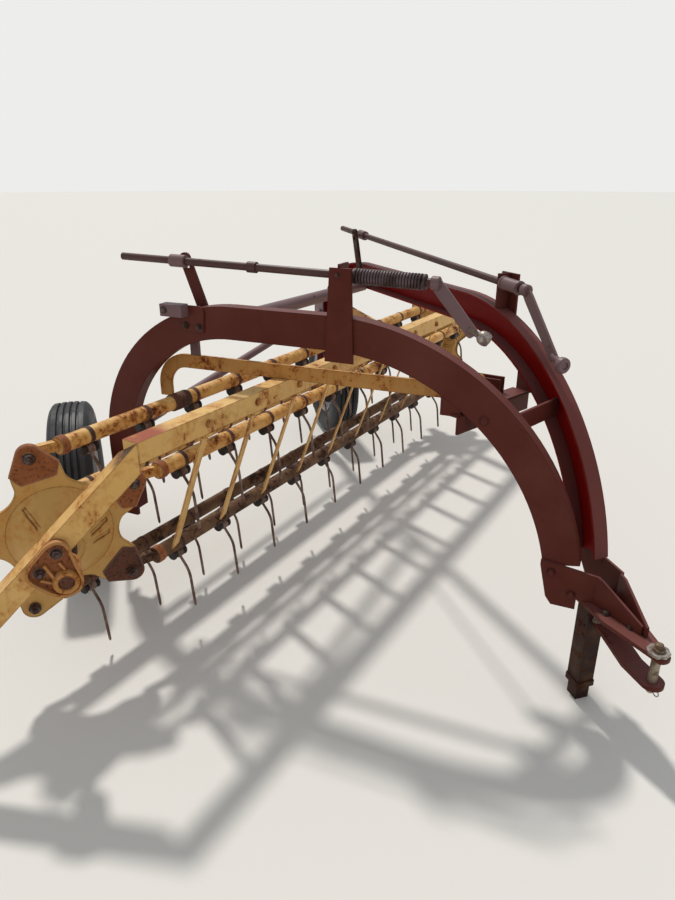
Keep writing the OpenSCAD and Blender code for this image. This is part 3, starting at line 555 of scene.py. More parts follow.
def make_finishes(c):
    """Every finish of the machine, from the panel's colours."""
    # the basket's near top corner, which is stained red on the beam and brown on the end beam
    corner = BASKET[:3, 3] + BASKET[:3, :3] @ np.array([0.030, -0.320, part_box("top_beam")[1][2]])

    def frame_paint(name, paint, rusty, **look):
        return weathered_paint(name, paint, c.maroon_faded, c.maroon_rust, (0.13, 0.065, 0.06), 5.0, rusty,
                               edge_share=0.7, sheen=0.42, **look)

    def basket_paint(name, rusty, paint=c.cream, faded=c.cream_faded, scale=6.0, streak=0.45, **look):
        return weathered_paint(name, paint, faded, c.rust, c.rust_dark, scale, rusty,
                               streak=streak, halo=(0.74, 0.50, 0.23), **look)

    # each paint's pale tone also goes on its upward faces as painted sunlight, besides sun fading
    return {
        "arch": frame_paint("maroon_paint", c.maroon, 0.66, fade_up=0.85, dusty=0.03, patch=0.22, gloss=0.10),
        # the far arch's faces that look back and up, toward the sun, are painted paler as sunlight, with sun fading
        "arch_far": frame_paint("red_paint", c.red, 0.68, fade_up=0.7, dusty=0.02, patch=0.05, gloss=0.08,
                                outward=((0.75, 0, 0.66), (0.43, 0.235, 0.22))),
        "cream": basket_paint("cream_paint", 0.60),
        "cream_beam": basket_paint("cream_beam_paint", 0.62, scale=5.0, fade_up=0.55, dusty=0.08, streak=0.35,
                                   blush=(corner, 0.15, (0.60, 0.285, 0.175))),
        "cream_end": basket_paint("cream_end_paint", 0.61, blush=(corner, 0.085, (0.22, 0.09, 0.08))),
        "cream_bar": basket_paint("cream_bar_paint", 0.565, edge=0.004, dusty=0.08, streak=0.2, sheen=0.52),
        # the basket arms' darker orange paint is partly rust and partly painted shade
        "cream_arm": basket_paint("cream_arm_paint", 0.57, (0.73, 0.535, 0.285), c.cream, edge_share=0.95,
                                  streak=0.6, sheen=0.55),
        "cream_dull": basket_paint("cream_dull_paint", 0.625, 0.90 * np.array(c.cream), c.cream, 5.0, 0.25,
                                   fade_up=0.4, edge=0.006, edge_share=0.95, dusty=0.15, sheen=0.55),
        "casting_rim": basket_paint("worn_casting_rim", 0.57, (0.66, 0.46, 0.28), (0.74, 0.58, 0.38), 9.0, 0.0,
                                    edge=0.003, edge_share=0.5, sheen=0.6),
        "rod": weathered_paint("rod_paint", (0.27, 0.165, 0.155), (0.39, 0.29, 0.29), c.maroon_rust,
                               (0.13, 0.075, 0.065), 9.0, 0.62, edge=0.003, edge_share=0.5, dusty=0.05,
                               sheen=0.42, gloss=0.3),
        # bars 3 and 4 are dark brown: painted shade, as if under the bars and beam above, and dirt from soil and crop
        "low_bar": weathered_paint("dirty_bar_paint", (0.355, 0.25, 0.175), (0.47, 0.35, 0.24),
                                   (0.25, 0.145, 0.095), (0.12, 0.07, 0.05), 8.0, 0.53, fade_up=0.35,
                                   edge=0.004, dusty=0.3, sheen=0.65),
        "mauve": weathered_paint("mauve_steel", c.mauve, (0.52, 0.43, 0.445), c.maroon_rust, (0.15, 0.09, 0.08),
                                 7.0, 0.64, edge=0.003, edge_share=0.55, dusty=0.06, sheen=0.42),
        "dark": weathered_paint("dark_paint", (0.16, 0.085, 0.065), (0.31, 0.195, 0.165), (0.29, 0.155, 0.09),
                                (0.07, 0.04, 0.032), 10.0, 0.54, edge=0.003, edge_share=0.7, dusty=0.15,
                                gloss=0.12),
        "rim": weathered_paint("rim_paint", (0.60, 0.60, 0.62), (0.78, 0.77, 0.76), (0.42, 0.30, 0.22),
                               (0.2, 0.13, 0.1), 9.0, 0.66, fade_up=0.4, edge=0.003, edge_share=0.6,
                               dusty=0.12, sheen=0.42),
        "rust": cast_iron("orange_casting", c.rust, (0.60, 0.34, 0.16), c.rust_dark),
        "rust_dark": cast_iron("brown_casting", c.rust_dark, (0.38, 0.20, 0.11), (0.09, 0.05, 0.04), 22.0),
        "bolt": bare_steel("bolt_steel", (0.36, 0.30, 0.28), c.rust_dark, 0.35, 60.0),
        "bright": bare_steel("bright_steel", (0.70, 0.67, 0.64), (0.46, 0.39, 0.35), 0.65, 40.0, (0.3, 0.6)),
        "spring": bare_steel("spring_steel", (0.36, 0.285, 0.295), (0.235, 0.165, 0.16), 0.3, 18.0, (0.42, 0.7)),
        "wire": bare_steel("tooth_wire", (0.52, 0.43, 0.39), (0.37, 0.265, 0.21), 0.2, 26.0, (0.45, 0.75)),
        "pin": bare_steel("pin_steel", (0.62, 0.57, 0.50), (0.44, 0.36, 0.28), 0.55, 34.0),
        "tyre": dusty_rubber("tyre_rubber", c.tyre, (0.36, 0.33, 0.31), 8.0, 0.25),
        "rubber": dusty_rubber("mount_rubber", (0.075, 0.062, 0.060), (0.33, 0.24, 0.19), 30.0, 0.3),
    }


# ---- sizes and colours ----

def size(name, default, description):
    return FloatProperty(name=name, default=default, description=description, min=0.0, max=3.0,
                         unit="LENGTH", subtype="DISTANCE", precision=4)


def colour(name, default, description):
    return FloatVectorProperty(name=name, default=default, description=description,
                               subtype="COLOR_GAMMA", size=3, min=0.0, max=1.0)


class HayRakeSizes(bpy.types.PropertyGroup):
    """Sizes of the dressed pieces, in metres."""

    tyre_r: size("Tyre radius", 0.330, "Radius over the tread")
    tyre_half: size("Half tyre width", 0.080, "Half the width over the sidewalls")
    bead_r: size("Bead radius", 0.195, "Radius at which tyre and rim meet")
    groove_deep: size("Groove depth", 0.011, "Depth of the tread's grooves")
    grooves: IntProperty(name="Grooves", default=4, description="Grooves round the tread", min=2, max=8)
    tine_bar_r: size("Tine bar radius", 0.025, "Radius of the tubes that carry the teeth")
    tooth_first: size("First tooth", 0.204, "Distance of the first tooth from its lobe")
    tooth_pitch: size("Tooth pitch", 0.232, "Distance between the teeth")
    teeth: IntProperty(name="Teeth", default=11, description="Teeth on each bar", min=2, max=14)
    tooth_drop: size("Tooth drop", 0.240, "Height from the tooth's tip to the bar's axis")
    wire_r: size("Wire radius", 0.0050, "Radius of the tooth wire")
    mount_r: size("Mount radius", 0.019, "Radius of the rubber mounts")
    spring_r: size("Spring radius", 0.0195, "Radius to the middle of the coil's wire")
    spring_wire: size("Spring wire", 0.0042, "Radius of the coil's wire")
    turns: IntProperty(name="Coil turns", default=23, description="Turns of the near crank's spring", min=4, max=60)


class HayRakeColours(bpy.types.PropertyGroup):
    """Colours as they look on screen."""

    maroon: colour("Maroon", (0.335, 0.140, 0.108), "Paint of the arches")
    # the upper faces get this pale maroon as painted sunlight, besides sun bleaching
    maroon_faded: colour("Faded maroon", (0.50, 0.325, 0.315), "Arches where the sun has bleached them")
    maroon_rust: colour("Maroon rust", (0.30, 0.155, 0.105), "Rust on the arches")
    red: colour("Red", (0.50, 0.045, 0.030), "Sheltered paint inside the far arch")
    # the basket's paint is tinted partway towards orange, as painted light thrown up from the ground
    cream: colour("Cream", (0.84, 0.66, 0.375), "Paint of the basket")
    # the upper faces get this pale cream as painted sunlight, besides sun bleaching
    cream_faded: colour("Faded cream", (0.93, 0.80, 0.56), "Basket where the sun has bleached it")
    rust: colour("Rust", (0.54, 0.30, 0.125), "Orange-brown rust of the basket")
    rust_dark: colour("Dark rust", (0.235, 0.125, 0.085), "Old brown rust")
    mauve: colour("Mauve steel", (0.43, 0.33, 0.335), "Cross pipe, lift links and crank arms")
    # the rubber's blue tint is a painted reflection of the sky
    tyre: colour("Tyre", (0.115, 0.13, 0.155), "Tyre rubber")


def sizes():
    return bpy.context.scene.hay_rake_sizes


# ---- wheels ----

WHEELS = (
    ("right", moved(FACE_FRONT, joint_at("wheel_right_spin"))),
    ("left", moved(FACE_BACK, joint_at("wheel_left_spin"))),
)
TREAD_SHARE = 0.72  # of the half width, where the tread ends and the sidewall starts
RIM_PROFILE = (
    (0.0178, -0.055), (0.040, -0.055), (0.045, -0.050), (0.045, -0.014), (0.058, -0.008), (0.095, -0.001),
    (0.140, -0.012), (0.168, -0.026), (0.178, -0.040), (0.181, -0.054), (0.190, -0.058), (0.1995, -0.064),
    (0.2025, -0.061), (0.2010, -0.0575), (0.1945, -0.055), (0.1935, -0.030), (0.1935, 0.030), (0.1945, 0.055),
    (0.2010, 0.0575), (0.2025, 0.061), (0.1995, 0.064), (0.190, 0.058), (0.178, 0.050), (0.172, 0.030),
    (0.168, -0.018), (0.140, -0.005), (0.095, 0.006), (0.062, -0.001), (0.052, 0.004), (0.046, 0.016),
    (0.045, 0.050), (0.040, 0.055), (0.0178, 0.055))
BOLT_CIRCLE_R = 0.072
HUB_END_Z = 0.0565


def tyre_shell(s):
    """A ring of revolution with a ribbed tread between rounded sidewalls.

    The tread's radius is the outer radius less a crown that grows as z squared and less a
    trapezoid for each groove. A sidewall's width is a power of a sine, with two fine ridges.
    """
    crown, inset, groove_flank = 0.004, 0.0005, 0.0027
    z = np.linspace(-TREAD_SHARE, TREAD_SHARE, 97) * s.tyre_half
    centres = (np.arange(s.grooves) - (s.grooves - 1) / 2) * (1.16 * s.tyre_half / s.grooves)
    cut = np.clip(1.9 - np.abs(z[:, None] - centres[None, :]) / groove_flank, 0, 1).max(1)
    tread = np.stack([s.tyre_r - inset - crown * (z / z[-1]) ** 2 - s.groove_deep * cut, z], -1)
    a = np.linspace(0.0, 1.0, 22)[1:-1]
    side_r = tread[-1, 0] + (s.bead_r - tread[-1, 0]) * a
    side_z = s.tyre_half * (TREAD_SHARE + 0.28 * np.sin(np.pi * np.clip(a * 1.22, 0, 1)) ** 0.62 - 0.02 * a)
    for ridge, half in ((0.16, 0.045), (0.84, 0.05)):
        side_z += 0.0011 * (np.abs(a - ridge) < half)
    near = np.stack([side_r, np.minimum(side_z, s.tyre_half)], -1)
    bead = np.array([(s.bead_r, 0.70 * s.tyre_half), (s.bead_r, -0.70 * s.tyre_half)])
    return lathe(np.concatenate([tread, near, bead, near[::-1] * (1, -1)]), 128)


class HAYRAKE_OT_tyres(bpy.types.Operator):
    """Ribbed implement tyres with rounded sidewalls"""

    bl_idname = "hay_rake.tyres"
    bl_label = "Tyres"

    def execute(self, context):
        shell = tyre_shell(sizes())
        for side, at in WHEELS:
            piece("ribbed_tyre_" + side, place(shell, at), "wheel_" + side, "tyre", ["tyre_" + side], sharp=30)
        return {"FINISHED"}


class HAYRAKE_OT_rims(bpy.types.Operator):
    """Pressed steel rims with their hubs, wheel bolts and spindle nuts"""

    bl_idname = "hay_rake.rims"
    bl_label = "Rims"

    def execute(self, context):
        bolts = [turn("Z", a) @ shift(BOLT_CIRCLE_R, 0, 0.0015) for a in np.arange(5) * 72.0]
        rim = join(lathe(RIM_PROFILE, 96), repeat(hex_bolt(0.020, 0.010, 0.014, 0.008), bolts))
        nut = place(hex_bolt(0.038, 0.012, 0.026), shift(0, 0, HUB_END_Z))
        for side, at in WHEELS:
            piece("pressed_rim_" + side, place(rim, at), "wheel_" + side, "rim", ["rim_" + side], sharp=30)
            piece("spindle_nut_" + side, place(nut, at), "frame", "bolt")
        return {"FINISHED"}


# ---- star heads ----

STAR_DEPTH = 0.100
HOLLOW_AT, HOLLOW_R = 0.245, 0.080  # the round hollow between two arms
ARM_ROOT_R, ARM_HALF = LOBE_R - 0.041, 0.070
LOBE_END_R, CAP_END_R = 0.034, 0.0355
SHAFT_BORE = 0.0203
CAP_LOOKS = (("rusty", "rust", (0, 1, 4)), ("dark", "rust_dark", (2,)), ("plain", "cream_dull", (3,)))


def star_radius(angle):
    """Edge of the star plate along a ray: the largest of the hollow, the arm's side and the round end.

    The hollow between two lobes is an arc of radius q about a point c out, so
    r = c cos t - sqrt(q^2 - c^2 sin^2 t), t being the angle from the middle between the lobes. The
    edge is then smoothed by a short bell-shaped average.
    """
    phi = np.abs(wrapped(angle[:, None] - LOBE_ANGLES[None, :])).min(1)
    mid = np.pi / 5 - phi
    root = HOLLOW_R ** 2 - (HOLLOW_AT * np.sin(mid)) ** 2
    web = np.where(root > 0, HOLLOW_AT * np.cos(mid) - np.sqrt(np.clip(root, 0, None)), 0)
    across, along = LOBE_R * np.sin(phi), LOBE_R * np.cos(phi)
    round_end = np.where(across < LOBE_END_R, along + np.sqrt(np.clip(LOBE_END_R ** 2 - across ** 2, 0, None)), 0)
    # the arm's side is the straight line from p at its root to q at the lobe
    p, q = np.array([ARM_ROOT_R, ARM_HALF]), np.array([LOBE_R + 0.008, 0.0331])
    d = q - p
    slant = (p[0] * d[1] - p[1] * d[0]) / (np.cos(phi) * d[1] - np.sin(phi) * d[0])
    ray_p, ray_q = np.arctan2(p[1], p[0]), np.arctan2(q[1], q[0])
    slant = np.where((phi <= ray_p) & (phi >= ray_q), slant, 0)
    flank = np.where(phi > ray_p, ARM_HALF / np.maximum(np.sin(phi), 1e-3), 0)
    edge = np.max([web, round_end, slant, np.minimum(flank, 0.26)], axis=0)
    kernel = np.hanning(9)
    kernel /= kernel.sum()
    return np.convolve(np.concatenate([edge[-4:], edge, edge[:4]]), kernel, "valid")


def star_shell(depth):
    """The pressed star: one closed loop of (r, y) for each angle, with r = a + b R(angle).

    The loop's rows are (a, b, y). It runs out along the front from the hub down the cone to the
    flat rim, round the turned-back lip, and home along the back. Four slots are pressed into the
    cone, and one bell-shaped crease stands on it.
    """
    angle = np.linspace(0, 2 * np.pi, 400, endpoint=False)
    cone = np.linspace(0, 1, 22)
    cone_r, cone_y = 0.060 + 0.088 * cone, depth * (1 - cone ** 1.05)
    loop = np.concatenate([
        [(0.0205, 0, depth + 0.004), (0.050, 0, depth + 0.004), (0.056, 0, depth + 0.002)],
        np.stack([cone_r, cone * 0, cone_y + 0.0030], -1),
        [(0.151, 0, 0.0030), (-0.010, 1.0, 0.0030), (-0.004, 1.0, 0.0024), (-0.0006, 1.0, 0.0000),
         (0.0, 1.0, -0.004), (0.0002, 1.0, -0.0115), (-0.0036, 1.0, -0.0115), (-0.0040, 1.0, -0.003),
         (-0.010, 1.0, -0.0010), (0.152, 0, -0.0010)],
        np.stack([cone_r, cone * 0, cone_y - 0.0010], -1)[::-1],
        [(0.052, 0, depth), (0.0205, 0, depth)]])
    r = loop[None, :, 0] + loop[None, :, 1] * star_radius(angle)[:, None]
    y = np.broadcast_to(loop[None, :, 2], r.shape).copy()
    slot_mid, slot_half_long, slot_half_wide, slot_deep = 0.108, 0.027, 0.0055, 0.0050
    for lobe, off in ((1, -0.30), (1, -0.62), (3, -0.4), (0, 0.5)):
        sideways = np.abs(wrapped(angle - (LOBE_ANGLES[lobe] + off)))[:, None] * r
        in_slot = (sideways < slot_half_wide) & (np.abs(r - slot_mid) < slot_half_long)
        y -= np.where(in_slot, slot_deep, 0.0)
    crease_wide, crease_high = 0.006, 0.004
    sideways = np.abs(wrapped(angle - LOBE_ANGLES[1] + 0.45))[:, None] * r
    y += np.where((r > 0.062) & (r < 0.146), crease_high * np.exp(-(sideways / crease_wide) ** 2), 0)
    grid = np.stack([r * np.cos(angle)[:, None], -y, r * np.sin(angle)[:, None]], -1)
    return grid_shell(grid[:, ::-1], close_u=True, close_v=True)


def lobe_cap():
    """A plate folded over one lobe's end, with x out along the arm.

    It is the plate's outline, a lip that follows the arm's end and a step along the inner edge.
    """
    a = np.radians(np.linspace(-62, 62, 15))
    end = np.stack([LOBE_R + CAP_END_R * np.cos(a), CAP_END_R * np.sin(a)], -1)
    heel_r, heel_half, shoulder_half, back, front = LOBE_R - 0.072, 0.052, 0.0695, 0.0032, 0.0056
    outline = np.concatenate([
        [(heel_r, -heel_half), (ARM_ROOT_R, -shoulder_half)], end,
        [(ARM_ROOT_R, shoulder_half), (heel_r, heel_half)]])
    face = plate(outline, back, front)
    lip = ribbon(outline[1:-1], 0.0026, -0.013, front)
    step_r = LOBE_R - 0.0735
    return join(face, lip, ribbon([(step_r, -0.050), (step_r, 0.050)], 0.004, 0.0030, 0.0058))


class HAYRAKE_OT_star_heads(bpy.types.Operator):
    """Pressed star heads with turned lips, dished middles, folded lobe caps and the shafts of their hubs"""

    bl_idname = "hay_rake.star_heads"
    bl_label = "Star heads"

    def execute(self, context):
        cap, star = lobe_cap(), star_shell(STAR_DEPTH)
        mirrored = (star[0] * (1, -1, 1), star[1][:, ::-1], star[2][:, ::-1])
        for side, at, shell, toward, sense, shaft in (
                ("right", HEAD_RIGHT, star, FACE_FRONT, 1.0, 0.288),
                ("left", HEAD_LEFT, mirrored, FACE_BACK_DOWN, -1.0, 0.170)):
            hub = lathe([(0, 0.075), (0.038, 0.075), (0.038, 0.122), (0.034, 0.126), (0.0202, 0.126),
                         (0.0200, shaft - 0.004), (0.017, shaft), (0, shaft)], 40)
            body = "reel_" + side
            piece("star_plate_" + side, place(shell, at), body, "cream_dull",
                  ["head_" + side], sharp=24)
            piece("hub_" + side, place(hub, at, toward), body, "rust_dark", sharp=30)
            for word, finish, lobes in CAP_LOOKS:
                caps = repeat(cap, [toward @ turn("Z", sense * np.degrees(LOBE_ANGLES[k])) for k in lobes])
                piece("lobe_caps_%s_%s" % (word, side), place(caps, at), body, finish, bevel=0.0007)
        return {"FINISHED"}


# ---- teeth and their bars ----

BAR_FIT = 0.0002  # between a bar and a ring on it
MOUNT_Y = 0.008  # how far the rubber mounts sit ahead of the bar's axis


def tooth_path(s):
    """The wire's middle line seen from the side, from its mount to its tip.

    It leans forward by 38 degrees under the mount and bends by a smooth step to 6 degrees; y and z
    are the slope's sine and cosine summed along the length.
    """
    mount_z = -np.sqrt((s.tine_bar_r + s.mount_r + 0.0003) ** 2 - MOUNT_Y ** 2)
    u = np.linspace(0, 1, 40)
    t = np.clip((u - 0.20) / 0.32, 0, 1)
    slope = np.radians(38 - 32 * t * t * (3 - 2 * t))
    dy, dz = (np.concatenate([[0], np.cumsum((f[1:] + f[:-1]) / 2)]) for f in (np.sin(slope), np.cos(slope)))
    k = (s.tooth_drop + mount_z) / dz[-1]
    return np.stack([0 * u, MOUNT_Y - k * dy, mount_z - k * dz], -1), mount_z


def tooth_shells(s):
    """One tooth at x = 0 under a bar whose axis is the origin: wire and coil, rubber mount and band."""
    path, mount_z = tooth_path(s)
    taper = np.full(len(path), s.wire_r)
    taper[-2:] = s.wire_r * np.array([0.9, 0.55])
    wire = tube(path, taper, 10, ref=(1, 0, 0))
    a = np.linspace(0, 2 * np.pi * 3, 64)
    r, m, b = s.mount_r - 0.0048, s.mount_r, s.tine_bar_r
    coil_path = np.stack([-0.013 + 0.026 * a / a[-1], MOUNT_Y + r * np.cos(a - 1.2), mount_z + r * np.sin(a - 1.2)], -1)
    coil = tube(coil_path, s.wire_r, 8, ref=(1, 0, 0))
    ribs = [(0, -0.030), (m * 0.86, -0.030), (m, -0.027), (m, -0.0215), (m * 0.78, -0.019), (m * 0.78, 0.019),
            (m, 0.0215), (m, 0.027), (m * 0.86, 0.030), (0, 0.030)]
    rubber = place(lathe(ribs, 22), shift(0, MOUNT_Y, mount_z), ALONG_X)
    band = place(collar(b + BAR_FIT, b + 0.0018, -0.008, 0.008, 0.002, 0.0004), ALONG_X)
    return join(wire, coil), rubber, band


class HAYRAKE_OT_teeth(bpy.types.Operator):
    """Spring teeth: bent wire with its coil in a rubber mount, and the band that clamps each mount to its bar"""

    bl_idname = "hay_rake.teeth"
    bl_label = "Teeth"

    def execute(self, context):
        s = sizes()
        wire, rubber, band = tooth_shells(s)
        places = s.tooth_first + s.tooth_pitch * np.arange(s.teeth)
        for n, lobe in enumerate(LOBES, 1):
            rows = [moved(BASKET, lobe) @ shift(x) for x in places]
            body = "tooth_bar_%d" % n
            piece("tooth_wires_%d" % n, repeat(wire, rows), body, "wire", ["teeth_%d" % n], sharp=50)
            piece("tooth_mounts_%d" % n, repeat(rubber, rows), body, "rubber", sharp=40)
            piece("tooth_bands_%d" % n, repeat(band, rows), body, "rust_dark", sharp=35)
        return {"FINISHED"}


class HAYRAKE_OT_bar_fittings(bpy.types.Operator):
    """Nuts, bushes and end collars where the tine bars' pins pass the lobes, and the upper bar's brown sleeve"""

    bl_idname = "hay_rake.bar_fittings"
    bl_label = "Tine bar fittings"

    def execute(self, context):
        bush = lathe([(0.0102, -0.030), (0.0195, -0.030), (0.0205, -0.028), (0.0205, -0.012), (0.0175, -0.008),
                      (0.0175, -0.005), (0.0102, -0.005)], 28)
        pin_end = (place(hex_bolt(0.026, 0.011, 0.018, 0.009), shift(0, 0, 0.0140)), bush)
        b, first, last = sizes().tine_bar_r, 0.096, 0.121
        ring = place(collar(b + BAR_FIT, b + 0.0040, first, last, 0.003, 0.0010), ALONG_X)
        for n, lobe in enumerate(LOBES, 1):
            near, far = moved(HEAD_RIGHT, lobe), moved(HEAD_LEFT, lobe + REEL_SPAN)
            ends = [place(part, *at) for part in pin_end for at in ((near, FACE_FRONT), (far, FACE_BACK_DOWN))]
            piece("pin_nuts_%d" % n, join(*ends), "tooth_bar_%d" % n, "bolt")
            at = moved(BASKET, lobe)
            rings = join(place(ring, at), place(ring, at, shift(REEL_LEN - first - last)))
            piece("bar_collars_%d" % n, rings, "tooth_bar_%d" % n, "rust", sharp=30)
        sleeve = collar(b + BAR_FIT, b + 0.0050, 0.555, 0.632, 0.004, 0.0015, 36)
        at = moved(BASKET, LOBES[0])
        piece("bar_sleeve", place(sleeve, at, ALONG_X), "tooth_bar_1", "rust_dark", sharp=30)
        return {"FINISHED"}


# ---- bearing castings ----

BRACKET = (
    (-0.038, -0.030), (-0.004, -0.044), (0.030, -0.034), (0.044, -0.006), (0.034, 0.034), (0.016, 0.112),
    (-0.006, 0.126), (-0.034, 0.116), (-0.086, 0.062), (-0.096, 0.036), (-0.082, 0.012))
BRACKET_MIDDLE = (-0.018, 0.045)
BRACKET_BOLTS = ((-0.012, 0.087), (-0.059, 0.040))
WEB_Z = 0.2788  # the right bracket's outer face, from the head's plane
FLANGE_BACK, FLANGE_FACE = 0.1660, 0.1748  # the left bracket's flange


class HAYRAKE_OT_castings(bpy.types.Operator):
    """Cast bearing brackets: a rimmed triangle with a bored boss on the right, a flanged boss on the left"""

    bl_idname = "hay_rake.castings"
    bl_label = "Bearing castings"

    def execute(self, context):
        bore = circle2(SHAFT_BORE, 28)
        outline = rounded(BRACKET, 0.014, 4)
        base = plate(outline, 0.2702, 0.2790, [bore])
        inset = 0.96 * (outline - BRACKET_MIDDLE) + BRACKET_MIDDLE
        boss = lathe([
            (SHAFT_BORE, 0.1960), (0.040, 0.1960), (0.042, 0.1985), (0.042, 0.268), (0.036, 0.272), (0.034, 0.290),
            (0.031, 0.2945), (0.0225, 0.2945), (SHAFT_BORE, 0.2925)], 48)
        raised = join(
            ribbon(inset, 0.0075, WEB_Z, 0.2920, closed=True), boss,
            ribbon([(-0.026, 0.016), (-0.046, 0.060)], 0.0075, WEB_Z, 0.2885),
            ribbon([(0.004, 0.032), (-0.010, 0.060)], 0.0060, WEB_Z, 0.2860),
            ribbon([(-0.034, 0.004), (-0.060, 0.018)], 0.0060, WEB_Z, 0.2860))
        pad_top = 0.2835
        pad = lathe([(0, WEB_Z), (0.0185, WEB_Z), (0.0165, pad_top), (0, pad_top)], 24)
        pads = repeat(pad, [shift(x, y) for x, y in BRACKET_BOLTS])
        nuts = repeat(hex_bolt(0.022, 0.010, 0.015, 0.006), [shift(x, y, pad_top) for x, y in BRACKET_BOLTS])
        right = (HEAD_RIGHT, FACE_FRONT)
        piece("bearing_casting_right", place(join(base, pads), *right), "basket", "rust",
              ["bearing_brackets"], bevel=0.0010, sharp=32)
        piece("bearing_rims_right", place(raised, *right), "basket", "casting_rim",
              bevel=0.0012, sharp=32)
        piece("bearing_nuts_right", place(nuts, *right), "basket", "bolt")
        flange = rounded([(-0.029, -0.075), (0.029, -0.075), (0.029, 0.075), (-0.029, 0.075)], 0.014)
        left = join(
            lathe([(SHAFT_BORE, 0.1150), (0.040, 0.1150), (0.042, 0.1175), (0.042, 0.160), (0.052, 0.164),
                   (0.052, FLANGE_FACE), (SHAFT_BORE, FLANGE_FACE)], 48),
            plate(flange, FLANGE_BACK, FLANGE_FACE, [bore]))
        piece("bearing_casting_left", place(left, HEAD_LEFT, FACE_BACK_DOWN), "basket", "rust",
              bevel=0.0010, sharp=32)
        behind = [FACE_BACK_DOWN @ turn("X", 180) @ shift(0, y, -FLANGE_BACK) for y in (-0.060, 0.060)]
        nuts = repeat(hex_bolt(0.020, 0.009, 0.014), behind)
        piece("bearing_nuts_left", place(nuts, HEAD_LEFT), "basket", "bolt")
        return {"FINISHED"}


# ---- crank screws ----

# a crank's rod in its arch's plane: place and height of its far end and of its grip's end, and its y
Rod = namedtuple("Rod", "far far_z grip grip_z y")
ROD_RIGHT = Rod(1.614, 1.238, 0.540, 1.215, -0.030)
ROD_LEFT = Rod(1.960, 1.242, 0.525, 1.156, -0.020)
ROD_BORE = 0.0124


def rod_slope(rod):
    """Rise of a crank's rod for each metre back along its arch."""
    return (rod.far_z - rod.grip_z) / (rod.far - rod.grip)


def on_rod(rod, x):
    """Frame on a crank's rod, whose height is a straight line between its two ends."""
    return shift(x, rod.y, rod.grip_z + rod_slope(rod) * (x - rod.grip))


def coil_shell(rod, x0, x1, s):
    """A helix round the rod: x and the angle both grow with the turns, and the end turns lie close."""
    u = np.linspace(0, 1, s.turns * 14)
    x = x0 + (x1 - x0) * (u + 0.006 * np.sin(2 * np.pi * u))
    a = 2 * np.pi * s.turns * u
    z = rod.grip_z + rod_slope(rod) * (x - rod.grip)
    path = np.stack([x, rod.y + s.spring_r * np.cos(a), z + s.spring_r * np.sin(a)], -1)
    return tube(path, s.spring_wire, 8, ref=(1, 0, 0))


class HAYRAKE_OT_crank_springs(bpy.types.Operator):
    """The tightly wound spring on the near crank and the plain sleeve with its collars on the far one"""

    bl_idname = "hay_rake.crank_springs"
    bl_label = "Crank springs"

    def execute(self, context):
        disc = lathe([(ROD_BORE, -0.0030), (0.0225, -0.0030), (0.0225, 0.0030), (ROD_BORE, 0.0030)], 32)
        ends = [place(disc, on_rod(ROD_RIGHT, x), ALONG_X) for x in (0.7735, 0.5625)]
        coil = join(coil_shell(ROD_RIGHT, 0.770, 0.566, sizes()), *ends)
        piece("crank_coil", place(coil, ARCH_RIGHT), "frame", "spring", ["crank_springs"], sharp=50)
        half = [(0.0205, 0.0350), (0.0230, 0.0370), (0.0230, 0.0430), (0.0225, 0.0450), (ROD_BORE, 0.0450)]
        sleeve = lathe([(r, -z) for r, z in half[::-1]] + half, 40)
        tilt = turn("Y", -np.degrees(np.arctan(rod_slope(ROD_LEFT))))
        piece("crank_sleeve", place(sleeve, ARCH_LEFT, on_rod(ROD_LEFT, 0.5905), tilt, ALONG_X), "frame", "mauve",
              sharp=30)
        return {"FINISHED"}


def crank_arm(rod, run, fall):
    """A crank's hub and its flat arm with rounded ends, which falls by fall over run, and where it ends."""
    start = np.array([rod.grip, rod.y, rod.grip_z])
    hub = lathe([(0, -0.004), (0.0165, -0.004), (0.0190, -0.001), (0.0190, 0.018), (0.0165, 0.021),
                 (0.009, 0.021), (0.009, 0.026), (0, 0.026)], 32)
    hub = place(hub, shift(*start), turn("Y", -np.degrees(np.arctan(rod_slope(rod)))), ALONG_BACK_X)
    setback = 0.008
    away = np.array([-(run - setback), 0.0, -fall])
    length = float(np.linalg.norm(away))
    along = away / length
    up = np.array([along[2], 0.0, -along[0]])
    tip = length + 0.012
    outline = rounded([(-0.016, -0.0150), (0.030, -0.0185), (tip, -0.0165), (tip, 0.0165), (0.030, 0.0185),
                       (-0.016, 0.0150)], 0.012, 6)
    arm = place(plate(outline, -0.0045, 0.0045), frame4(start - (setback, 0, 0), along, up, np.cross(along, up)))
    return join(hub, arm), start - (run, 0, fall)


def turned_grip(end):
    """A turned handle from an arm's end: its radius swells by a half ellipse, with a small bell at its root."""
    u = np.linspace(0, 1, 30)
    swell = 0.0115 * np.clip(1 - ((u - 0.74) / 0.27) ** 2, 0, 1) ** 0.5 * (u > 0.4)
    r = 0.0090 + swell + 0.0020 * np.exp(-((u - 0.06) / 0.05) ** 2)
    r[-1] = 0.004
    return tube(np.linspace(end + (0.010, 0, 0.009), end + (-0.053, 0, -0.0215), 30), r, 28)


def knob_grip(end):
    """A round dished knob on a short shank from an arm's end."""
    knob = lathe([(0, -0.008), (0.021, -0.008), (0.0245, -0.004), (0.0250, 0.006), (0.0235, 0.012),
                  (0.0190, 0.0155), (0.0115, 0.0165), (0.0095, 0.0120), (0, 0.0115)], 40)
    shank = tube(np.linspace(end + (0.006, 0, 0.004), end + (-0.038, 0, -0.014), 8), 0.0115, 18)
    return join(shank, place(knob, shift(*(end + (-0.040, 0.0, -0.015))), ALONG_BACK_X))


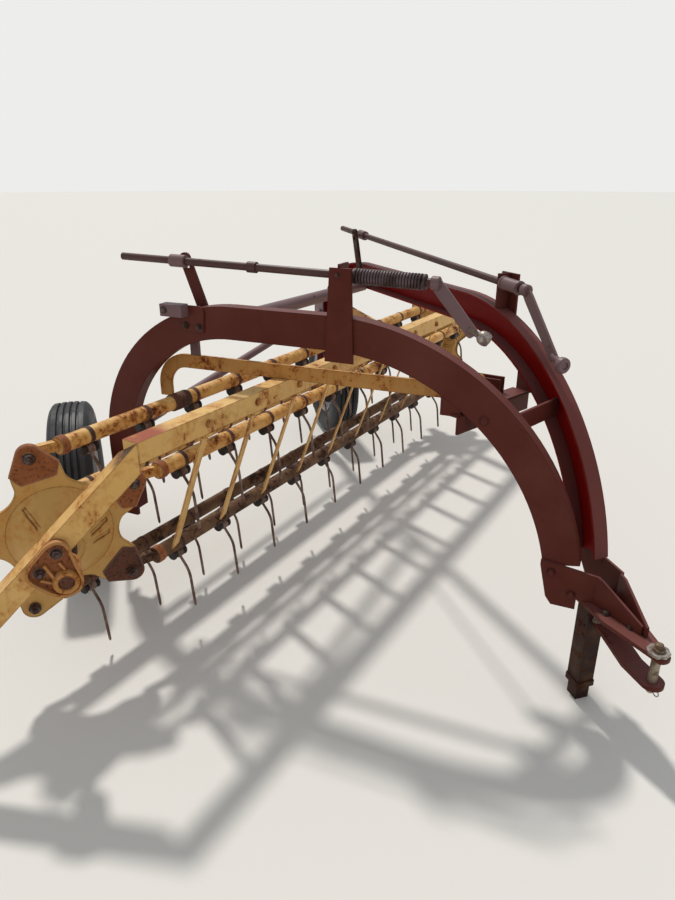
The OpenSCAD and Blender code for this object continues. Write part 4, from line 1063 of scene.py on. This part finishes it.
class HAYRAKE_OT_crank_grips(bpy.types.Operator):
    """Crank arms with their hubs, the turned grip on the near one and the dished knob on the far one"""

    bl_idname = "hay_rake.crank_grips"
    bl_label = "Crank grips"

    def execute(self, context):
        near, near_end = crank_arm(ROD_RIGHT, 0.118, 0.128)
        far, far_end = crank_arm(ROD_LEFT, 0.170, 0.176)
        arms = join(place(near, ARCH_RIGHT), place(far, ARCH_LEFT))
        piece("crank_arms", arms, "frame", "mauve", ["crank_handles"], bevel=0.0012, sharp=32)
        piece("crank_grip_near", place(turned_grip(near_end), ARCH_RIGHT), "frame", "bright")
        piece("crank_grip_far", place(knob_grip(far_end), ARCH_LEFT), "frame", "mauve", sharp=30)
        return {"FINISHED"}


# ---- bolts and fittings ----

LEVER_ARM, LEVER_SLOPE = 0.0686, 18.7
HITCH_PIN_AT = (0.243, 0.026)
STRAP_TOP_Z = 0.337
STAND_HALF = float(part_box("stand_sleeve")[1][0])


def on_sheet(points, face, sense):
    """Frames for bolts on a plate in an arch's plane: face is its y, and sense where its outside looks."""
    return [shift(x, face, z) @ turn("X", -90 * sense) for x, z in points]


class HAYRAKE_OT_lift_fittings(bpy.types.Operator):
    """Pivot nuts and pin bolts of the lift levers, and the plate and tube end behind the near lever"""

    bl_idname = "hay_rake.lift_fittings"
    bl_label = "Lift fittings"

    def execute(self, context):
        nut = hex_bolt(0.030, 0.012, 0.021, 0.008)
        right, left = moved(ARCH_RIGHT, joint_at("lever_right_turn")), moved(ARCH_LEFT, joint_at("lever_left_turn"))
        # on the frame's pins, in front of the webs
        both = join(
            place(nut, right, shift(0, -0.0165, 0), turn("X", 90)),
            place(nut, left, shift(0, 0.0105, 0), turn("X", -90)))
        piece("pivot_nuts", both, "frame", "bolt")
        outline = rounded([(-0.043, -0.052), (0.040, -0.052), (0.046, 0.020), (0.030, 0.034), (-0.043, 0.034)], 0.006)
        web = place(plate(outline, 0, 0.006), right, shift(0, 0.0685, 0), turn("X", -90), turn("Z", 180))
        piece("lever_plate", web, "frame", "arch", bevel=0.0012)
        # the closed end of a square tube behind the lever, with its bolt
        stub = plate([(1.340, 1.066), (1.425, 1.066), (1.425, 1.106), (1.340, 1.106)], 0.006, 0.046)
        stub = place(stub, ARCH_RIGHT, turn("X", 90), shift(0, 0, -0.052))
        piece("lever_stub", stub, "frame", "mauve", bevel=0.0020)
        bolt = place(dome_bolt(0.009, 0.005, 0.012), ARCH_RIGHT, shift(1.408, 0.0462, 1.087), turn("X", -90))
        piece("lever_stub_bolt", bolt, "frame", "bolt")
        bolts = repeat(hex_bolt(0.017, 0.008, 0.012, 0.003), on_sheet([(-0.024, -0.034), (0.026, -0.032)], 0.0745, 1))
        piece("lever_plate_bolts", place(bolts, right), "frame", "bolt")
        eye = hex_bolt(0.022, 0.009, 0.016)
        for side, at, y, toward in (("right", right, -0.0280, 90), ("left", left, 0.0360, -90)):
            pin = place(eye, at, turn("Y", LEVER_SLOPE), shift(LEVER_ARM, y, 0), turn("X", toward))
            piece("lever_bolts_" + side, pin, "lift_lever_" + side, "bolt")
        return {"FINISHED"}


class HAYRAKE_OT_arch_fittings(bpy.types.Operator):
    """Bolts of the gussets, posts, axle plates and braces on the two arches"""

    bl_idname = "hay_rake.arch_fittings"
    bl_label = "Arch fittings"

    def execute(self, context):
        bolt, plug = hex_bolt(0.019, 0.008, 0.0125), dome_bolt(0.011, 0.005, 0.015)
        small = hex_bolt(0.011, 0.005, 0.007)
        # the gussets' heads wear the arches' own paint
        for name, arch, finish, slot, *groups in (
                ("gusset_bolts_right", ARCH_RIGHT, "arch", "frame_red",
                 (bolt, [(0.125, 0.412), (0.062, 0.352)], 0.0080, 1), (plug, [(0.361, 0.846)], 0.0002, 1)),
                ("gusset_bolts_left", ARCH_LEFT, "arch", "frame_red",
                 (bolt, [(0.125, 0.412), (0.062, 0.362)], -0.0580, -1)),
                ("arch_bolts_right", ARCH_RIGHT, "bolt", "dark_steel",
                 (bolt, [(1.680, 0.345), (1.730, 0.345)], 0.0140, 1)),
                ("arch_bolts_left", ARCH_LEFT, "bolt", "dark_steel",
                 (bolt, [(2.200, 0.345), (2.250, 0.345)], 0.0140, 1),
                 (bolt, [(0.622, 1.030), (0.666, 1.030)], -0.0580, -1)),
                ("post_bolt", ARCH_RIGHT, "bolt", "dark_steel", (small, [(0.812, 1.225)], 0.0080, 1))):
            heads = join(*[repeat(head, on_sheet(*where)) for head, *where in groups])
            piece(name, place(heads, arch), "frame", finish)
        return {"FINISHED"}


class HAYRAKE_OT_hitch_fittings(bpy.types.Operator):
    """Hitch pin with its ring and cotter, the stand's collar and lock bolt, and the straps' bolts"""

    bl_idname = "hay_rake.hitch_fittings"
    bl_label = "Hitch fittings"

    def execute(self, context):
        at = shift(*HITCH_PIN_AT)
        ring = lathe([(0.0135, 0.3372), (0.0290, 0.3372), (0.0310, 0.3390), (0.0310, 0.3450), (0.0290, 0.3468),
                      (0.0210, 0.3468), (0.0200, 0.3450), (0.0135, 0.3450)], 8)
        pin = join(
            lathe([(0, 0.3460), (0.0175, 0.3460), (0.0175, 0.3530), (0.0150, 0.3550), (0, 0.3550)], 6),
            lathe([(0, 0.3540), (0.0105, 0.3540), (0.0115, 0.3600), (0.0100, 0.3650), (0.0055, 0.3675),
                   (0, 0.3680)], 24),
            lathe([(0, 0.2120), (0.0095, 0.2120), (0.0125, 0.2160), (0.0125, 0.3500), (0, 0.3500)], 28))
        piece("drawbar_pin", place(pin, at), "frame", "pin", ["hitch_pin"], sharp=30)
        piece("drawbar_ring", place(ring, at), "frame", "bright", bevel=0.0008)
        a = np.linspace(0.25 * np.pi, 2.2 * np.pi, 30)
        loop = np.stack([0.010 * np.cos(a) + 0.020, 0 * a, 0.010 * np.sin(a)], -1)
        cotter = tube(np.concatenate([loop, [[0.000, 0, 0.001], [-0.020, 0, 0.001]]]), 0.0016, 8, ref=(0, 1, 0))
        piece("pin_cotter", place(cotter, shift(*HITCH_PIN_AT, 0.223)), "frame", "bright")
        square = np.array([(-1, -1), (1, -1), (1, 1), (-1, 1)], float)
        hole = rounded(square * (STAND_HALF + 0.0002), 0.001)
        band = plate(rounded(square * (STAND_HALF + 0.004), 0.006), 0.0490, 0.0680, [hole])
        piece("stand_collar", band, "frame", "dark", bevel=0.0010)
        lock = place(hex_bolt(0.018, 0.009, 0.013, 0.006), shift(STAND_HALF, 0.0, 0.296), ALONG_X)
        piece("stand_bolts", lock, "frame", "bright")
        strap = repeat(hex_bolt(0.018, 0.008, 0.013), [
            shift(x, y, STRAP_TOP_Z) for x, y in ((0.060, 0.000), (0.060, 0.052), (0.135, 0.026))])
        piece("strap_bolts", strap, "frame", "bolt")
        return {"FINISHED"}


class HAYRAKE_OT_basket_fittings(bpy.types.Operator):
    """Bolts that hold the strippers to the top beam"""

    bl_idname = "hay_rake.basket_fittings"
    bl_label = "Basket fittings"

    def execute(self, context):
        beam_top = float(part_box("top_beam")[1][2])
        first, pitch, count, front = 0.250, 0.229, 10, -0.347
        x = first + pitch * np.arange(count) + 0.040
        face = repeat(hex_bolt(0.018, 0.008, 0.013), [shift(v, front, beam_top - 0.030) @ turn("X", 90) for v in x])
        piece("beam_bolts", place(face, BASKET), "basket", "casting_rim")
        return {"FINISHED"}


# ---- paint and stage ----

NODE_FINISH = {
    "arch": ("arch_right", "gussets", "crank_posts", "axle_plates", "lever_right", "pivot_angle", "front_tie",
             "hitch_straps"),
    "arch_far": ("arch_left",),
    "cream": ("strippers",),
    # the basket arms: rust and painted shade
    "cream_arm": ("basket_arms",),
    "rod": ("crank_rods",),
    "cream_end": ("end_beams",),
    "cream_beam": ("top_beam",),
    "cream_bar": ("bar_1", "bar_2", "bar_5"),
    # bars 3 and 4: dirt and painted shade
    "low_bar": ("bar_3", "bar_4"),
    "cream_dull": ("head_right", "head_left"),
    "rust": ("bearing_brackets",),
    "mauve": ("cross_pipe", "brace_tube", "crank_springs", "crank_handles", "lift_links", "nut_right", "nut_left"),
    "dark": ("stand_sleeve", "stand_leg", "lever_pivots", "lever_left"),
    "pin": ("hitch_pin",),
    "rim": ("rim_right", "rim_left"),
    "tyre": ("tyre_right", "tyre_left"),
    "wire": ("teeth_1", "teeth_2", "teeth_3", "teeth_4", "teeth_5"),
}


class HAYRAKE_OT_paint(bpy.types.Operator):
    """Makes the finishes and puts them on the solid model's own nodes"""

    bl_idname = "hay_rake.paint"
    bl_label = "Paint"

    def execute(self, context):
        FINISH.update(make_finishes(context.scene.hay_rake_colours))
        for finish, names in NODE_FINISH.items():
            for name in names:
                obj = NODES[name]
                if not obj.material_slots:
                    obj.data.materials.append(FINISH[finish])
                for slot in obj.material_slots:
                    slot.material = FINISH[finish]
        return {"FINISHED"}


CAMERA_AT, CAMERA_HEADING, CAMERA_DOWN, LENS_MM = (1.386, -1.173, 1.5), (-0.961, 0.276), 22.4, 27.04
SUN_TOWARD = (0.632, 0.027, -1.0)
FLOOR_R, FLOOR_CORNERS = 60, 96


def aim(obj, direction):
    """Turns a camera or a lamp to look along a direction."""
    obj.rotation_mode = "QUATERNION"
    obj.rotation_quaternion = Vector(direction).to_track_quat("-Z", "Y")


def sky_world():
    """An even pale blue light, behind which the camera sees a plain pale backdrop."""
    world = bpy.data.worlds.new("sky")
    world.use_nodes = True
    tree = world.node_tree
    tree.nodes.clear()
    out, mix, path, light, backdrop = (tree.nodes.new("ShaderNode" + kind) for kind in (
        "OutputWorld", "MixShader", "LightPath", "Background", "Background"))
    for background, colour, strength in (
            (light, (0.93, 0.965, 1.0, 1.0), 0.55), (backdrop, linear((0.93, 0.93, 0.925)), 1.0)):
        background.inputs["Color"].default_value = colour
        background.inputs["Strength"].default_value = strength
    tree.links.new(path.outputs["Is Camera Ray"], mix.inputs[0])
    tree.links.new(light.outputs[0], mix.inputs[1])
    tree.links.new(backdrop.outputs[0], mix.inputs[2])
    tree.links.new(mix.outputs[0], out.inputs[0])
    return world


class HAYRAKE_OT_stage(bpy.types.Operator):
    """Camera at the machine's front right, a pale floor, a soft sun from behind and an even sky"""

    bl_idname = "hay_rake.stage"
    bl_label = "Stage"

    def execute(self, context):
        scene = context.scene
        data = bpy.data.cameras.new("view")
        data.lens, data.sensor_width = LENS_MM, 36.0
        camera = in_scene("view", data)
        camera.location = CAMERA_AT
        down = np.radians(CAMERA_DOWN)
        aim(camera, (CAMERA_HEADING[0] * np.cos(down), CAMERA_HEADING[1] * np.cos(down), -np.sin(down)))
        scene.camera = camera

        pale = Nodes("pale_floor")
        pale.feed_all(pale.shader, {"Base Color": linear((0.86, 0.85, 0.83)), "Roughness": 0.9})
        mesh = bpy.data.meshes.new("floor")
        rim = circle2(FLOOR_R, FLOOR_CORNERS)
        mesh.from_pydata([(x, y, 0.0) for x, y in rim.tolist()], [], [list(range(FLOOR_CORNERS))])
        mesh.materials.append(pale.material)
        floor = in_scene("floor", mesh)

        lamp = bpy.data.lights.new("sun", "SUN")
        lamp.energy, lamp.angle, lamp.color = 2.3, np.radians(4.0), (1.0, 0.965, 0.91)
        aim(in_scene("sun", lamp), SUN_TOWARD)
        scene.world = sky_world()
        scene.view_settings.view_transform = "Standard"
        return {"FINISHED"}


# ---- the add-on's panel and the run ----

OPERATORS = (
    HAYRAKE_OT_stage, HAYRAKE_OT_paint, HAYRAKE_OT_tyres, HAYRAKE_OT_rims, HAYRAKE_OT_star_heads, HAYRAKE_OT_teeth,
    HAYRAKE_OT_bar_fittings, HAYRAKE_OT_castings, HAYRAKE_OT_crank_springs, HAYRAKE_OT_crank_grips,
    HAYRAKE_OT_lift_fittings, HAYRAKE_OT_arch_fittings, HAYRAKE_OT_hitch_fittings, HAYRAKE_OT_basket_fittings)


class HAYRAKE_PT_panel(bpy.types.Panel):
    """Lists the rake's sizes, colours and pieces in the sidebar"""

    bl_idname = "HAYRAKE_PT_panel"
    bl_label = "Hay Rake"
    bl_space_type = "VIEW_3D"
    bl_region_type = "UI"
    bl_category = "Hay Rake"

    def draw(self, context):
        for group in (context.scene.hay_rake_sizes, context.scene.hay_rake_colours):
            box = self.layout.box()
            for name in group.bl_rna.properties.keys():
                if name not in ("rna_type", "name"):
                    box.prop(group, name)
        for operator in OPERATORS:
            self.layout.operator(operator.bl_idname)


CLASSES = (HayRakeSizes, HayRakeColours) + OPERATORS + (HAYRAKE_PT_panel,)


def register():
    for cls in CLASSES:
        bpy.utils.register_class(cls)
    bpy.types.Scene.hay_rake_sizes = PointerProperty(type=HayRakeSizes)
    bpy.types.Scene.hay_rake_colours = PointerProperty(type=HayRakeColours)


def unregister():
    del bpy.types.Scene.hay_rake_colours
    del bpy.types.Scene.hay_rake_sizes
    for cls in reversed(CLASSES):
        bpy.utils.unregister_class(cls)


def main():
    """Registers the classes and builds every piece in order."""
    register()
    for operator in OPERATORS:
        getattr(bpy.ops.hay_rake, operator.bl_idname.split(".")[1])()


if __name__ == "__main__":
    main()
